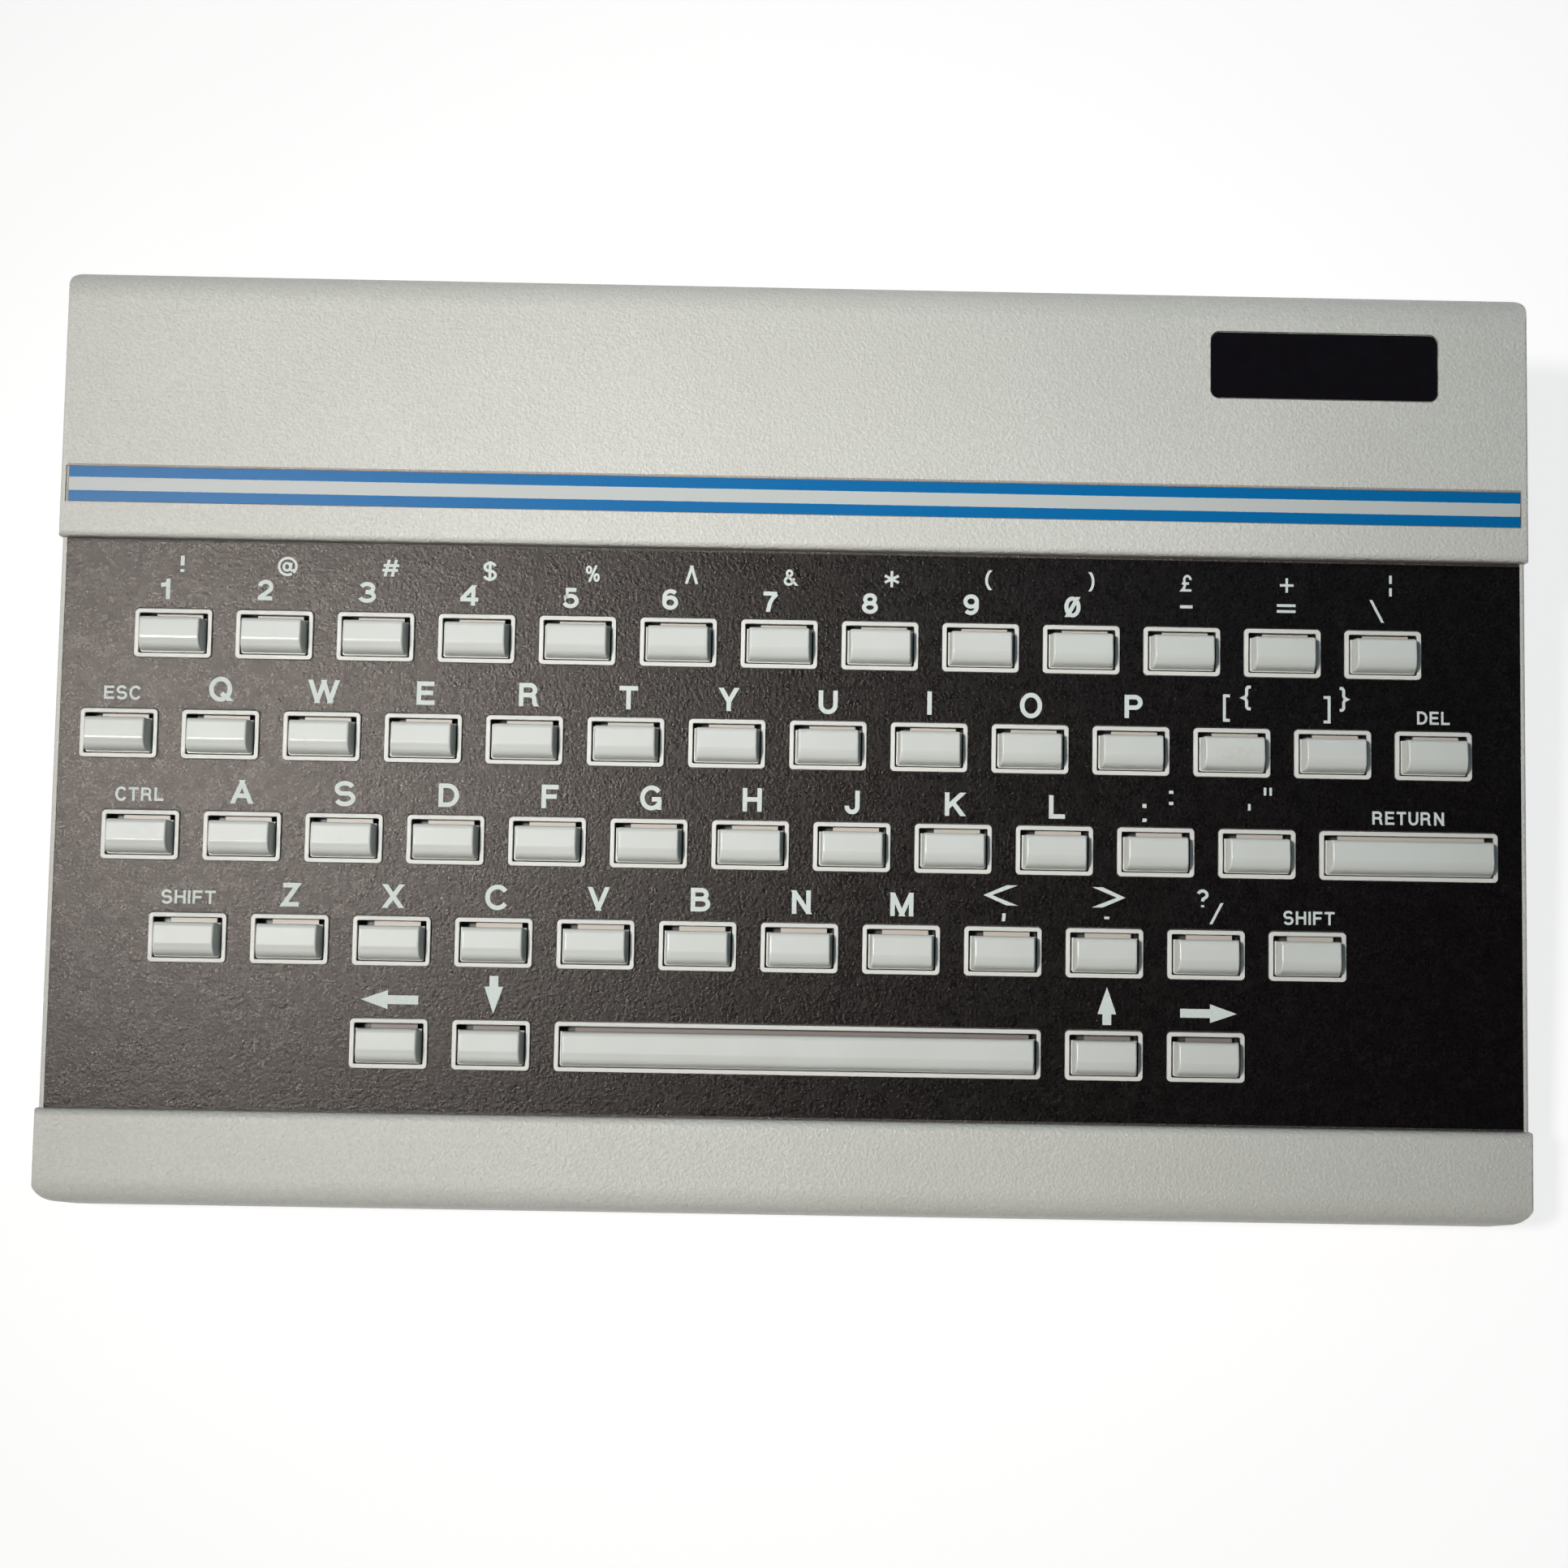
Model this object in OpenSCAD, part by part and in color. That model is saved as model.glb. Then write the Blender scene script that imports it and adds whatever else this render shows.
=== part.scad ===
// Wedge-shaped home computer of the early 1980s. A two-part moulded case carries a black fascia with
// raised collars round 57 calculator-style keys. The keyboard board hangs under the deck on melted
// posts, and the main board lies on the posts of the lower tray with its sockets facing the rear.
// Frame: X to the right, Y to the rear, Z up. The origin is the middle of the footprint on the desk.
// Deck frame: X to the right, v up the slope, n out of the fascia, with its zero on the home row.

/* [Case] */
// Width of the case, side to side
case_w = 277.6; // [270:0.2:340]
// Depth of the case, front to rear
case_d = 174; // [166:1:215]
// Height of the fascia at the home row, above the desk
deck_h = 29.8; // [29:0.2:38]
// Slope of the deck
slope = 10; // [9:0.5:12]
// Distance from the front wall to the home row
home_from_front = 67.05; // [66:0.05:69]
// Thickness of the case walls
wall = 2.5; // [2:0.1:3]
// Height of the raised front bar and rear section over the fascia
raise = 2.6; // [2:0.1:3.2]
// Height of the joint between the two case halves
parting_z = 12; // [11:0.5:13]
// Height of the rubber feet below the tray
foot_h = 2.2; // [1.8:0.1:3]
// Radius of the rear top edge
rear_r = 6.5; // [4:0.5:8]
// Radius of the front top edge
front_r = 5.5; // [4:0.5:7]
// Radius of the four corners in plan
corner_r = 3.5; // [2:0.5:5]
// Radius round the bottom of the tray
bottom_r = 3; // [2.5:0.5:4]

/* [Keyboard] */
// Distance between neighbouring keys and between rows
pitch = 19.05; // [15.8:0.05:19.4]
// Length of a standard key cap
key_l = 12.3; // [11:0.1:12.8]
// Front-to-rear width of a key cap
key_w = 7.0; // [6.4:0.1:7.6]
// Height of a key cap over the fascia
key_top = 3.6; // [3:0.1:4.4]
// Travel of a key
key_travel = 1.5; // [1:0.1:1.8]
// Width of the ledge round the foot of a key's dome
key_ledge = 0.5; // [0.3:0.05:0.7]
// Gap between a key cap and its collar
key_gap = 0.3; // [0.25:0.05:0.4]
// Wall of a collar
rim_wall = 0.8; // [0.6:0.1:1]
// Height of a collar over the fascia
rim_h = 0.5; // [0.3:0.1:0.8]
// Front edge of the keyboard well, from the home row
front_lip = -50.95; // [-52:0.05:-50]
// Rear edge of the keyboard well, from the home row
rear_lip = 56.05; // [55:0.05:58]

/* [Boards] */
// Height of the underside of the main board
board_z = 8; // [7.8:0.1:8.4]
// Thickness of both boards
board_t = 1.6; // [1.2:0.1:1.8]
// Depth of the keyboard board's upper face under the fascia
keyboard_n = 8.2; // [8:0.1:8.6]

/* [Sockets] */
// Radius of the round sockets' cups
din_r = 6.65; // [6:0.05:7]
// Radius of the power socket's bore
power_r = 3.15; // [2.8:0.05:3.4]
// Radius of the bore in the television socket
tv_r = 1.65; // [1.5:0.05:1.8]
// Pitch of the header pins
pin_pitch = 2.54; // [2:0.01:2.54]

/* [Hidden] */
$fn = 48;
eps = 0.01;
sin_s = sin(slope);
cos_s = cos(slope);
home_y = -case_d / 2 + home_from_front;
floor_z = foot_h + wall;
board_top = board_z + board_t;
seam = 0.3;                                // shadow gap between the two halves
tall = 80;                                 // reaches over everything

deck_t = 2.8;                              // thickness of the deck plate
fascia_t = 0.3;
fascia_w = case_w - 2.2;
fascia_v = [front_lip + 0.45, rear_lip - 0.55];        // open grooves before and behind it
front_lip_r = 1.8;
rear_lip_r = 1.3;

rim_l = key_l + 2 * (key_gap + rim_wall);
rim_w = key_w + 2 * (key_gap + rim_wall);
flange_t = 0.9;
flange_n = -deck_t - 0.3;                  // top of the flange that keeps a key in
stem_r = 2.2;
stem_n = 0.8 + key_travel - keyboard_n;    // tip of a key's stem at rest
mat_t = 0.6;
cup_top_n = flange_n - flange_t - key_travel - 0.3;    // top of the rubber cups
cup_bore_r = 2.7;

stripe_v = [62.6, 69.2];                   // lower and upper edge of the striped band
stripe_w = case_w - 3.5;
badge_v = [86.5, 99.1];
badge_x = [78.5, 121.4];

// Rows of keys: [column of the first key, row, number of keys]
row_1 = [0, 1, 13];
row_2 = [-0.5, 2, 14];
row_3 = [-0.25, 3, 12];
row_4 = [0.25, 4, 12];
middle_col = 6 + 2.7 / 19.05;
return_key = [12.25, 3, pitch];
space_key = [6.25, 5, 4 * pitch];

function row_keys(r) = [for (i = [0 : r[2] - 1]) [r[0] + i, r[1], 0]];
cursor_list = [[2.25, 5, 0], [3.25, 5, 0], [9.25, 5, 0], [10.25, 5, 0]];
all_keys = concat(row_keys(row_1), row_keys(row_2), row_keys(row_3), row_keys(row_4),
                  cursor_list, [return_key, space_key]);

// Named keys: each name in a row list stands for the next key; an empty name is in a group below
names_1 = ["1", "2", "3", "4", "5", "6", "7", "8", "9", "0", "", "", ""];
names_2 = ["", "q", "w", "e", "r", "t", "y", "u", "i", "o", "p", "", "", ""];
names_3 = ["", "a", "s", "d", "f", "g", "h", "j", "k", "l", "", ""];
names_4 = ["", "z", "x", "c", "v", "b", "n", "m", "", "", "", ""];
function named(r, names) =
    [for (i = [0 : r[2] - 1]) if (names[i] != "") [str("key_", names[i]), [r[0] + i, r[1], 0]]];
single_keys = concat(named(row_1, names_1), named(row_2, names_2), named(row_3, names_3),
                     named(row_4, names_4), [["key_return", return_key], ["key_space", space_key]]);

control_list = [[-0.5, 2, 0], [12.5, 2, 0], [-0.25, 3, 0], [0.25, 4, 0], [11.25, 4, 0]];
symbol_list = [[10, 1, 0], [11, 1, 0], [12, 1, 0], [10.5, 2, 0], [11.5, 2, 0],
               [9.75, 3, 0], [10.75, 3, 0], [8.25, 4, 0], [9.25, 4, 0], [10.25, 4, 0]];

// Screws through the tray, the main board and the upper case
screw_x = 115;
screw_rows = [[-case_d / 2 + 11.5, 17.5], [home_y + 61.95, 21]];    // [y, height of the screw's tip]
screw_r = 1.45;
boss_r = 3.7;

foot_r = 6;
foot_sunk = 0.7;                           // depth of a foot's seat in the tray

// Melted posts that carry the keyboard board
stake_x = [-6, -3, 0, 3, 6];
stake_v = [-1.5, 1.5];
stake_r = 1.4;

// Sockets on the rear edge of the main board: centre in X, and the plane of their faces
face_y = case_d / 2 - 0.6;
rgb_x = -68;
tape_x = -44;
printer_x = -5;
expansion_x = 52;
power_x = 108;
tv_x = -108;
din_size = [19, 14, 18.5];
din_z = board_top + din_size[2] / 2;
header_h = 9;
header_d = 10;
power_size = [9.4, 14, 11];
power_z = board_top + 6;
can_size = [50, 28, 20];
can_y = case_d / 2 - wall - 4;             // rear face of the television modulator's can
tv_z = board_top + 10;

// Rows of parts on the main board, from the front; the ribbon comes down behind the third
board_rows = [home_y - 26, home_y + 6, home_y + 30, home_y + 54, home_y + 72];

speaker_pos = [-98, home_y + 28];
speaker_r = 25;
reset_pos = [40, home_y - 30];
reset_travel = 0.8;
reset_flange = 0.9;                        // thickness of the flange that keeps the button in
reset_z = foot_h + 0.7;                    // outer face of the button, sunk into the tray

shell_color = [0.78, 0.78, 0.74];
key_color = [0.82, 0.82, 0.78];
black = [0.06, 0.05, 0.06];
metal = [0.75, 0.76, 0.77];

// ---- Places ----

function key_x(k) = (k[0] - middle_col) * pitch;
function key_v(k) = (3 - k[1]) * pitch;
function deck_v(y, n) = (y - home_y + n * sin_s) / cos_s;
function deck_z(v, n) = deck_h + v * sin_s + n * cos_s;
function span(middle, half) = [middle - half, middle + half];
function pins_l(count) = count / 2 * pin_pitch + 7.6;

// Puts children into the deck frame
module on_deck() translate([0, home_y, deck_h]) rotate([slope, 0, 0]) children();

// The same for a side outline, drawn in Y and Z
module on_deck_2d() translate([home_y, deck_h]) rotate(slope) children();

// Extrudes a side outline, drawn in Y and Z, along X
module along_x(length) rotate([90, 0, 90]) linear_extrude(length, center = true) children();

// Extrudes a front outline, drawn in X and Z, along Y
module along_y(length) rotate([90, 0, 0]) linear_extrude(length, center = true) children();

module box(x, y, z) translate([x[0], y[0], z[0]]) cube([x[1] - x[0], y[1] - y[0], z[1] - z[0]]);

// A rectangle round the origin with true arcs at its corners
module rounded(l, w, r) {
    square([l - 2 * r, w], center = true);
    square([l, w - 2 * r], center = true);
    for (x = [-1, 1], y = [-1, 1]) translate([x * (l / 2 - r), y * (w / 2 - r)]) circle(r);
}

// A slot along Y with round ends
module slot(w, l) {
    square([w, l - w], center = true);
    for (s = [-1, 1]) translate([0, s * (l - w) / 2]) circle(w / 2);
}

// ---- The case as one solid, at a distance inside its outer skin ----

// Side outline: flat bottom, upright ends, sloping top, all four corners round
module side_outline(inset) {
    low = foot_h + inset;
    rb = max(bottom_r - inset, 0.8);
    rr = rear_r - inset;
    rf = front_r - inset;
    front = -case_d / 2 + inset;
    rear = case_d / 2 - inset;
    rear_c = [rear - rr, deck_z(deck_v(rear - rr, raise - rear_r), raise - rear_r)];
    front_c = [front + rf, deck_z(deck_v(front + rf, raise - front_r), raise - front_r)];
    polygon([[front + rb, low], [rear - rb, low], [rear, low + rb], [rear, rear_c[1]],
             rear_c + rr * [-sin_s, cos_s], front_c + rf * [-sin_s, cos_s],
             [front, front_c[1]], [front, low + rb]]);
    translate(rear_c) circle(rr);
    translate(front_c) circle(rf);
    translate([front + rb, low + rb]) circle(rb);
    translate([rear - rb, low + rb]) circle(rb);
}

// Front outline: rounded only along the bottom edges
module front_outline(inset) {
    rb = max(bottom_r - inset, 0.8);
    low = foot_h + inset;
    half = case_w / 2 - inset;
    polygon([[-half + rb, low], [half - rb, low], [half, low + rb], [half, tall],
             [-half, tall], [-half, low + rb]]);
    for (s = [-1, 1]) translate([s * (half - rb), low + rb]) circle(rb);
}

module case_block(inset) intersection() {
    along_x(case_w) side_outline(inset);
    along_y(case_d) front_outline(inset);
    linear_extrude(tall) rounded(case_w - 2 * inset, case_d - 2 * inset, max(corner_r - inset, 1));
}

// What is cut away over the fascia, with the rounded lips of the front bar and the rear section
module well_outline() {
    translate([front_lip, 0]) square([rear_lip - front_lip, 12]);
    difference() {
        translate([rear_lip - eps, raise - rear_lip_r]) square([rear_lip_r, 10]);
        translate([rear_lip + rear_lip_r, raise - rear_lip_r]) circle(rear_lip_r);
    }
    difference() {
        translate([front_lip - front_lip_r + eps, raise - front_lip_r]) square([front_lip_r, 10]);
        translate([front_lip - front_lip_r, raise - front_lip_r]) circle(front_lip_r);
    }
}

// Takes a round edge off both sides of the case, along the deck, at height n
module side_edges(n, r, from_v, to_v) on_deck()
    translate([0, (from_v + to_v) / 2, 0]) along_y(to_v - from_v)
        for (s = [-1, 1]) translate([s * case_w / 2, n]) difference() {
            translate([-r, -r]) square([2 * r, 2 * r]);
            translate([s * -r, -r]) circle(r);
            translate([s > 0 ? -2 * r : r, -2 * r]) square([r, 4 * r]);
        }

module outer_case() difference() {
    case_block(0);
    on_deck() along_x(case_w + 2) well_outline();
    side_edges(raise, 1, -90, 130);
    side_edges(0, 0.6, front_lip, rear_lip);
}

module case_cavity() intersection() {
    case_block(wall);
    along_x(case_w) difference() {
        side_outline(wall);
        on_deck_2d() translate([front_lip - wall, -deck_t])
            square([rear_lip - front_lip + 2 * wall, 20]);
    }
}

// ---- Openings in the rear wall ----

module rear_windows() translate([0, case_d / 2 - wall / 2, 0]) along_y(wall + 6) {
    low = board_top - 0.3;
    for (x = [rgb_x, tape_x]) translate([x - din_size[0] / 2 - 0.4, low])
        square([din_size[0] + 0.8, din_size[2] + 0.7]);
    for (h = [[printer_x, 20], [expansion_x, 34]])
        translate([h[0] - pins_l(h[1]) / 2 - 0.4, low]) square([pins_l(h[1]) + 0.8, header_h + 0.7]);
    translate([power_x - power_size[0] / 2 - 0.4, low]) square([power_size[0] + 0.8, power_size[2] + 0.7]);
    translate([tv_x, tv_z]) circle(6.6);
    translate([tv_x - 6.6, parting_z]) square([13.2, tv_z - parting_z]);
}

// ---- Case ----

module screw_places() for (x = [-screw_x, 0, screw_x], r = screw_rows) translate([x, r[0], 0]) children();

module upper_bosses() {
    screw_places() translate([0, 0, board_top]) cylinder(r = boss_r, h = tall);
    for (i = stake_x, j = stake_v) on_deck() translate([i * pitch, j * pitch, 0]) {
        translate([0, 0, -keyboard_n]) cylinder(r = 3, h = keyboard_n - 1);
        translate([0, 0, -keyboard_n - board_t - 0.9]) cylinder(r = stake_r, h = keyboard_n + board_t);
        translate([0, 0, -keyboard_n - board_t - 0.9]) cylinder(r = 2.3, h = 0.9);
    }
}

// Stiffening ribs under the deck, under the rear section and in the front bar
module upper_ribs() {
    rib = 1.4;
    for (j = [-1.5, -0.5, 0.5, 1.5]) on_deck()
        translate([-case_w / 2 + 1, j * pitch - rib / 2, -deck_t - 2.2]) cube([case_w - 2, rib, 3]);
    for (x = [-84, -30, 30, 84]) {
        on_deck() translate([x - rib / 2, rear_lip + 1, -5]) cube([rib, 42, 6]);
        on_deck() translate([x - rib / 2, front_lip - 12, -4]) cube([rib, 11, 5]);
    }
}

module upper_case() color(shell_color) difference() {
    union() {
        difference() {
            intersection() {
                outer_case();
                box([-case_w, case_w], [-case_d, case_d], [parting_z, tall]);
            }
            case_cavity();
            // rebate over the tongue of the tray
            translate([0, 0, parting_z - 1]) linear_extrude(2.8)
                rounded(case_w - 2 * wall + 2.4, case_d - 2 * wall + 2.4, 2);
        }
        intersection() {
            translate([0, 0, -eps]) case_block(1);
            union() {
                upper_bosses();
                upper_ribs();
            }
            on_deck() along_x(case_w) difference() {
                translate([-120, -60]) square([260, 62.3]);
                translate([front_lip - 1.5, -1]) square([rear_lip - front_lip + 3, 12]);
            }
        }
        on_deck() for (k = all_keys) translate([key_x(k), key_v(k), -fascia_t - 0.5])
            linear_extrude(rim_h + fascia_t + 0.5) rounded(rim_l + k[2], rim_w, 0.8);
    }
    // key openings, through collar and deck
    on_deck() for (k = all_keys) translate([key_x(k), key_v(k), -deck_t - 1])
        linear_extrude(deck_t + 3) rounded(key_l + 2 * key_gap + k[2], key_w + 2 * key_gap, 0.25);
    // seat of the fascia, left standing round the collars
    on_deck() translate([0, (front_lip + rear_lip) / 2, -fascia_t]) linear_extrude(fascia_t + eps)
        difference() {
            square([fascia_w + 0.2, rear_lip - front_lip], center = true);
            translate([0, -(front_lip + rear_lip) / 2]) for (k = all_keys)
                translate([key_x(k), key_v(k)]) rounded(rim_l + k[2], rim_w, 0.8);
        }
    // seats of the striped band and of the badge plate
    on_deck() box([-stripe_w / 2 - 0.6, stripe_w / 2 + 0.1], [stripe_v[0] - 0.1, stripe_v[1] + 0.1],
                  [raise - 0.3, raise + 1]);
    on_deck() translate([(badge_x[0] + badge_x[1]) / 2, (badge_v[0] + badge_v[1]) / 2, raise - 0.8])
        linear_extrude(2) rounded(badge_x[1] - badge_x[0] + 0.5, badge_v[1] - badge_v[0] + 0.5, 1.8);
    rear_windows();
    for (x = [-screw_x, 0, screw_x], r = screw_rows)
        translate([x, r[0], board_top - 1]) cylinder(r = screw_r + 0.1, h = r[1] - board_top + 1.5);
}

module tray_posts() screw_places() translate([0, 0, floor_z - 1])
    cylinder(r = 4.8, h = board_z - floor_z + 1);

module tray_ribs() {
    for (y = [-60, -30, 0, 30, 60]) box([-52, 126], [y - 0.6, y + 0.6], [floor_z - 1, floor_z + 1.2]);
    for (x = [-60, 30, 90]) box([x - 0.6, x + 0.6], [-case_d / 2 + 6, case_d / 2 - 6],
                                 [floor_z - 1, floor_z + 1.2]);
}

// Slots and holes in the bottom of the tray
module tray_vents() {
    for (x = [-44 : 8 : 84], y = [-15, 15]) if (x != 28)
        translate([x, y, foot_h - 1]) linear_extrude(wall + 4) slot(2.2, 22);
    translate([speaker_pos[0], speaker_pos[1], foot_h - 1]) {
        cylinder(r = 1.2, h = wall + 2);
        for (ring = [1 : 3], a = [0 : 60 / ring : 359]) rotate(a) translate([6 * ring, 0, 0])
            cylinder(r = 1.2, h = wall + 2);
    }
}

module lower_case() color(shell_color) difference() {
    union() {
        difference() {
            intersection() {
                case_block(0);
                box([-case_w, case_w], [-case_d, case_d], [0, parting_z - seam]);
            }
            case_block(wall);
        }
        // tongue that locates the upper case
        translate([0, 0, parting_z - seam - 2]) linear_extrude(seam + 3.6) difference() {
            rounded(case_w - 2 * wall + 2, case_d - 2 * wall + 2, 1.8);
            rounded(case_w - 2 * wall - 0.6, case_d - 2 * wall - 0.6, 1.2);
        }
        intersection() {
            case_block(1);
            union() {
                tray_posts();
                tray_ribs();
            }
        }
    }
    screw_places() {
        translate([0, 0, 0]) cylinder(r = 3.4, h = foot_h + 3);
        cylinder(r = screw_r + 0.25, h = tall);
    }
    tray_vents();
    translate([reset_pos[0], reset_pos[1], 0]) cylinder(r = 2.5, h = tall);
    foot_places() cylinder(r = foot_r + 0.3, h = foot_h + foot_sunk);
    rear_windows();
}

module foot_places() for (x = [-1, 1], y = [-1, 1])
    translate([x * (case_w / 2 - 14), y * (case_d / 2 - 24), 0]) children();

module rubber_feet() color(black) foot_places() {
    cylinder(r1 = foot_r - 0.6, r2 = foot_r, h = 0.6);
    translate([0, 0, 0.6]) cylinder(r = foot_r, h = foot_h + foot_sunk - 0.6);
}

module case_screws() color(metal)
    for (x = [-screw_x, 0, screw_x], r = screw_rows) translate([x, r[0], foot_h + 3]) difference() {
        union() {
            translate([0, 0, -2]) cylinder(r = 2.9, h = 2);
            cylinder(r = screw_r, h = r[1] - foot_h - 3);
        }
        for (a = [0, 90]) rotate(a) translate([-1.6, -0.35, -2.5]) cube([3.2, 0.7, 1.6]);
    }

// ---- Fascia, band and badge ----

module key_fascia() color(black) on_deck() difference() {
    box([-fascia_w / 2, fascia_w / 2], fascia_v, [-fascia_t, 0]);
    for (k = all_keys) translate([key_x(k), key_v(k) + 0.08, -1])
        linear_extrude(2) rounded(rim_l + k[2] + 0.24, rim_w + 0.4, 0.9);
}

module stripe_tape() color([0.05, 0.35, 0.6]) on_deck()
    box([-stripe_w / 2, stripe_w / 2], stripe_v, [raise - 0.3, raise - 0.05]);

module badge_plate() color(black) on_deck()
    translate([(badge_x[0] + badge_x[1]) / 2, (badge_v[0] + badge_v[1]) / 2, raise - 0.8])
        linear_extrude(0.7) rounded(badge_x[1] - badge_x[0], badge_v[1] - badge_v[0], 1.6);

// ---- Keys ----

// Loaf-shaped dome on a base plate, a flange that stops the key under the deck, and its stems
module key(k) on_deck() translate([key_x(k), key_v(k), 0]) {
    length = key_l + k[2];
    plate_n = rim_h - 0.15;
    translate([0, 0, flange_n - 0.2]) linear_extrude(plate_n - flange_n + 0.2)
        rounded(length, key_w, 0.6);
    dome(length - key_ledge, key_w - 2 * key_ledge, plate_n - 0.2);
    translate([0, 0, flange_n - flange_t]) linear_extrude(flange_t) difference() {
        rounded(length + 2, key_w + 2, 0.8);
        // relieved at its rear corners
        for (s = [-1, 1]) translate([s * (length / 2 + 1), key_w / 2 + 1]) square([5, 2], center = true);
    }
    stems = k[2] > 2 * pitch ? [-1.75 * pitch, 0, 1.75 * pitch] : [0];
    for (x = stems) translate([x, 0, stem_n]) cylinder(r = stem_r, h = flange_n - stem_n);
}

// Dome of a key from height low up to its top: round shoulders along it, drafted ends
module dome(l, w, low) intersection() {
    shoulder = 1.9;
    draft = 0.5;
    along_x(l + 1) {
        polygon([[-w / 2, low], [w / 2, low], [w / 2, key_top - shoulder],
                 [w / 2 - shoulder, key_top], [shoulder - w / 2, key_top],
                 [-w / 2, key_top - shoulder]]);
        for (s = [-1, 1]) translate([s * (w / 2 - shoulder), key_top - shoulder]) circle(shoulder);
    }
    along_y(w + 1) {
        polygon([[-l / 2, low], [l / 2, low], [l / 2 - draft, key_top - 0.4],
                 [l / 2 - draft - 0.4, key_top], [draft + 0.4 - l / 2, key_top],
                 [draft - l / 2, key_top - 0.4]]);
        for (s = [-1, 1]) translate([s * (l / 2 - draft - 0.4), key_top - 0.4]) circle(0.4);
    }
}

module single_key(k) color(key_color) key(k);
module control_keys() color(key_color) for (k = control_list) key(k);
module symbol_keys() color(key_color) for (k = symbol_list) key(k);
module cursor_keys() color(key_color) for (k = cursor_list) key(k);

// ---- Under the deck ----

keyboard_l = case_w - 2 * wall - 5;
keyboard_v = [-46, 49];

module stake_holes(r) for (i = stake_x, j = stake_v)
    translate([i * pitch, j * pitch, -keyboard_n - board_t - 1]) cylinder(r = r, h = board_t + 6);

module keyboard_board() color([0.1, 0.35, 0.2]) on_deck() {
    difference() {
        box([-keyboard_l / 2, keyboard_l / 2], keyboard_v, [-keyboard_n - board_t, -keyboard_n]);
        stake_holes(stake_r + 0.15);
    }
    // plug strip for the ribbon
    box([-20, 20], [keyboard_v[1] - 6, keyboard_v[1] - 1],
        [-keyboard_n - board_t - 3, -keyboard_n - board_t]);
}

// Rubber mat with a hollow cup under every stem
module key_mat() color([0.55, 0.55, 0.52]) on_deck() difference() {
    union() {
        box([-keyboard_l / 2 + 2, keyboard_l / 2 - 2], [keyboard_v[0] + 1, keyboard_v[1] - 1],
            [-keyboard_n, -keyboard_n + mat_t]);
        cup_places() cylinder(r1 = 4.3, r2 = 3.5, h = keyboard_n + cup_top_n);
    }
    cup_places() translate([0, 0, -1]) cylinder(r = cup_bore_r, h = 6);
    stake_holes(3.4);
}

module cup_places() for (k = all_keys, x = k[2] > 2 * pitch ? [-1.75 * pitch, 0, 1.75 * pitch] : [0])
    translate([key_x(k) + x, key_v(k), -keyboard_n]) children();

// Flat cable from the keyboard's plug strip down to the main board
module keyboard_ribbon() color([0.6, 0.6, 0.62]) {
    top_v = keyboard_v[1] - 3.5;
    top = [home_y + top_v * cos_s + (keyboard_n + board_t + 3) * sin_s,
           deck_z(top_v, -keyboard_n - board_t - 3) - 0.4];
    foot = [top[0] + 0.5, board_top];
    knee = (top[1] - foot[1]) / 3;
    half = 0.5;
    bulge = 2.5;
    along_x(38) polygon([[top[0] - half, top[1]], [top[0] + half, top[1]],
                         [foot[0] + bulge + half, foot[1] + 2 * knee],
                         [foot[0] + bulge + half, foot[1] + knee], [foot[0] + half, foot[1]],
                         [foot[0] - half, foot[1]], [foot[0] + bulge - half, foot[1] + knee],
                         [foot[0] + bulge - half, foot[1] + 2 * knee]]);
}

// ---- Main board and what stands on it ----

module main_board() color([0.1, 0.35, 0.2]) {
    difference() {
        box([-130, 130], [-case_d / 2 + 7, case_d / 2 - 7], [board_z, board_top]);
        box([-131, speaker_pos[0] + 28], [speaker_pos[1] - 28, speaker_pos[1] + 28], [0, tall]);
        screw_places() cylinder(r = 1.9, h = tall);
    }
    // switch under the board, just over the pressed reset button
    box(span(reset_pos[0], 3), span(reset_pos[1], 3),
        [reset_z + wall + reset_flange / 2 + reset_travel + 0.4, board_z]);
}

// A chip in its socket, notched at one end
module socketed_chip(x, y, l, w, turn) translate([x, y, board_top]) rotate(turn) {
    translate([-l / 2, -w / 2, 0]) cube([l, w, 2.8]);
    difference() {
        translate([-l / 2 + 0.4, -w / 2 + 1, 2.8 - eps]) cube([l - 0.8, w - 2, 3.6]);
        translate([-l / 2 + 0.4, 0, 5.6]) cylinder(r = 1.2, h = 2);
    }
}

module plain_chip(x, y) translate([x, y, board_top]) difference() {
    translate([-9.5, -3.3, 0]) cube([19, 6.6, 4]);
    translate([-9.5, 0, 3.4]) cylinder(r = 1, h = 2);
}

module board_chips() color([0.12, 0.12, 0.13]) {
    for (x = [-70, -44, -18, 8, 66, 92]) plain_chip(x, board_rows[0]);
    for (i = [0 : 7]) socketed_chip(-49 + 14 * i, board_rows[1], 20.4, 8.4, 90);
    for (x = [-38, 20, 78]) socketed_chip(x, board_rows[2], 52, 15.2, 0);
    for (x = [64, 78, 92]) translate([x, board_rows[3], board_top]) cylinder(r = 5, h = 13);
    box([-66, -56], span(board_rows[3] - 2, 2.3), [board_top, board_top + 13]);
    for (x = [-35, 34]) socketed_chip(x, board_rows[4], 36, 15.2, 0);
}

module heat_sink() color(metal) translate([0, case_d / 2 - 37, board_top]) {
    box([66, 104], [0, 2.5], [0, 24]);
    for (i = [0 : 6]) box([66 + 6 * i, 68 + 6 * i], [2, 12], [6, 24]);
    box([80, 90], [-4.5, 0], [0, 18]);
}

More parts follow.
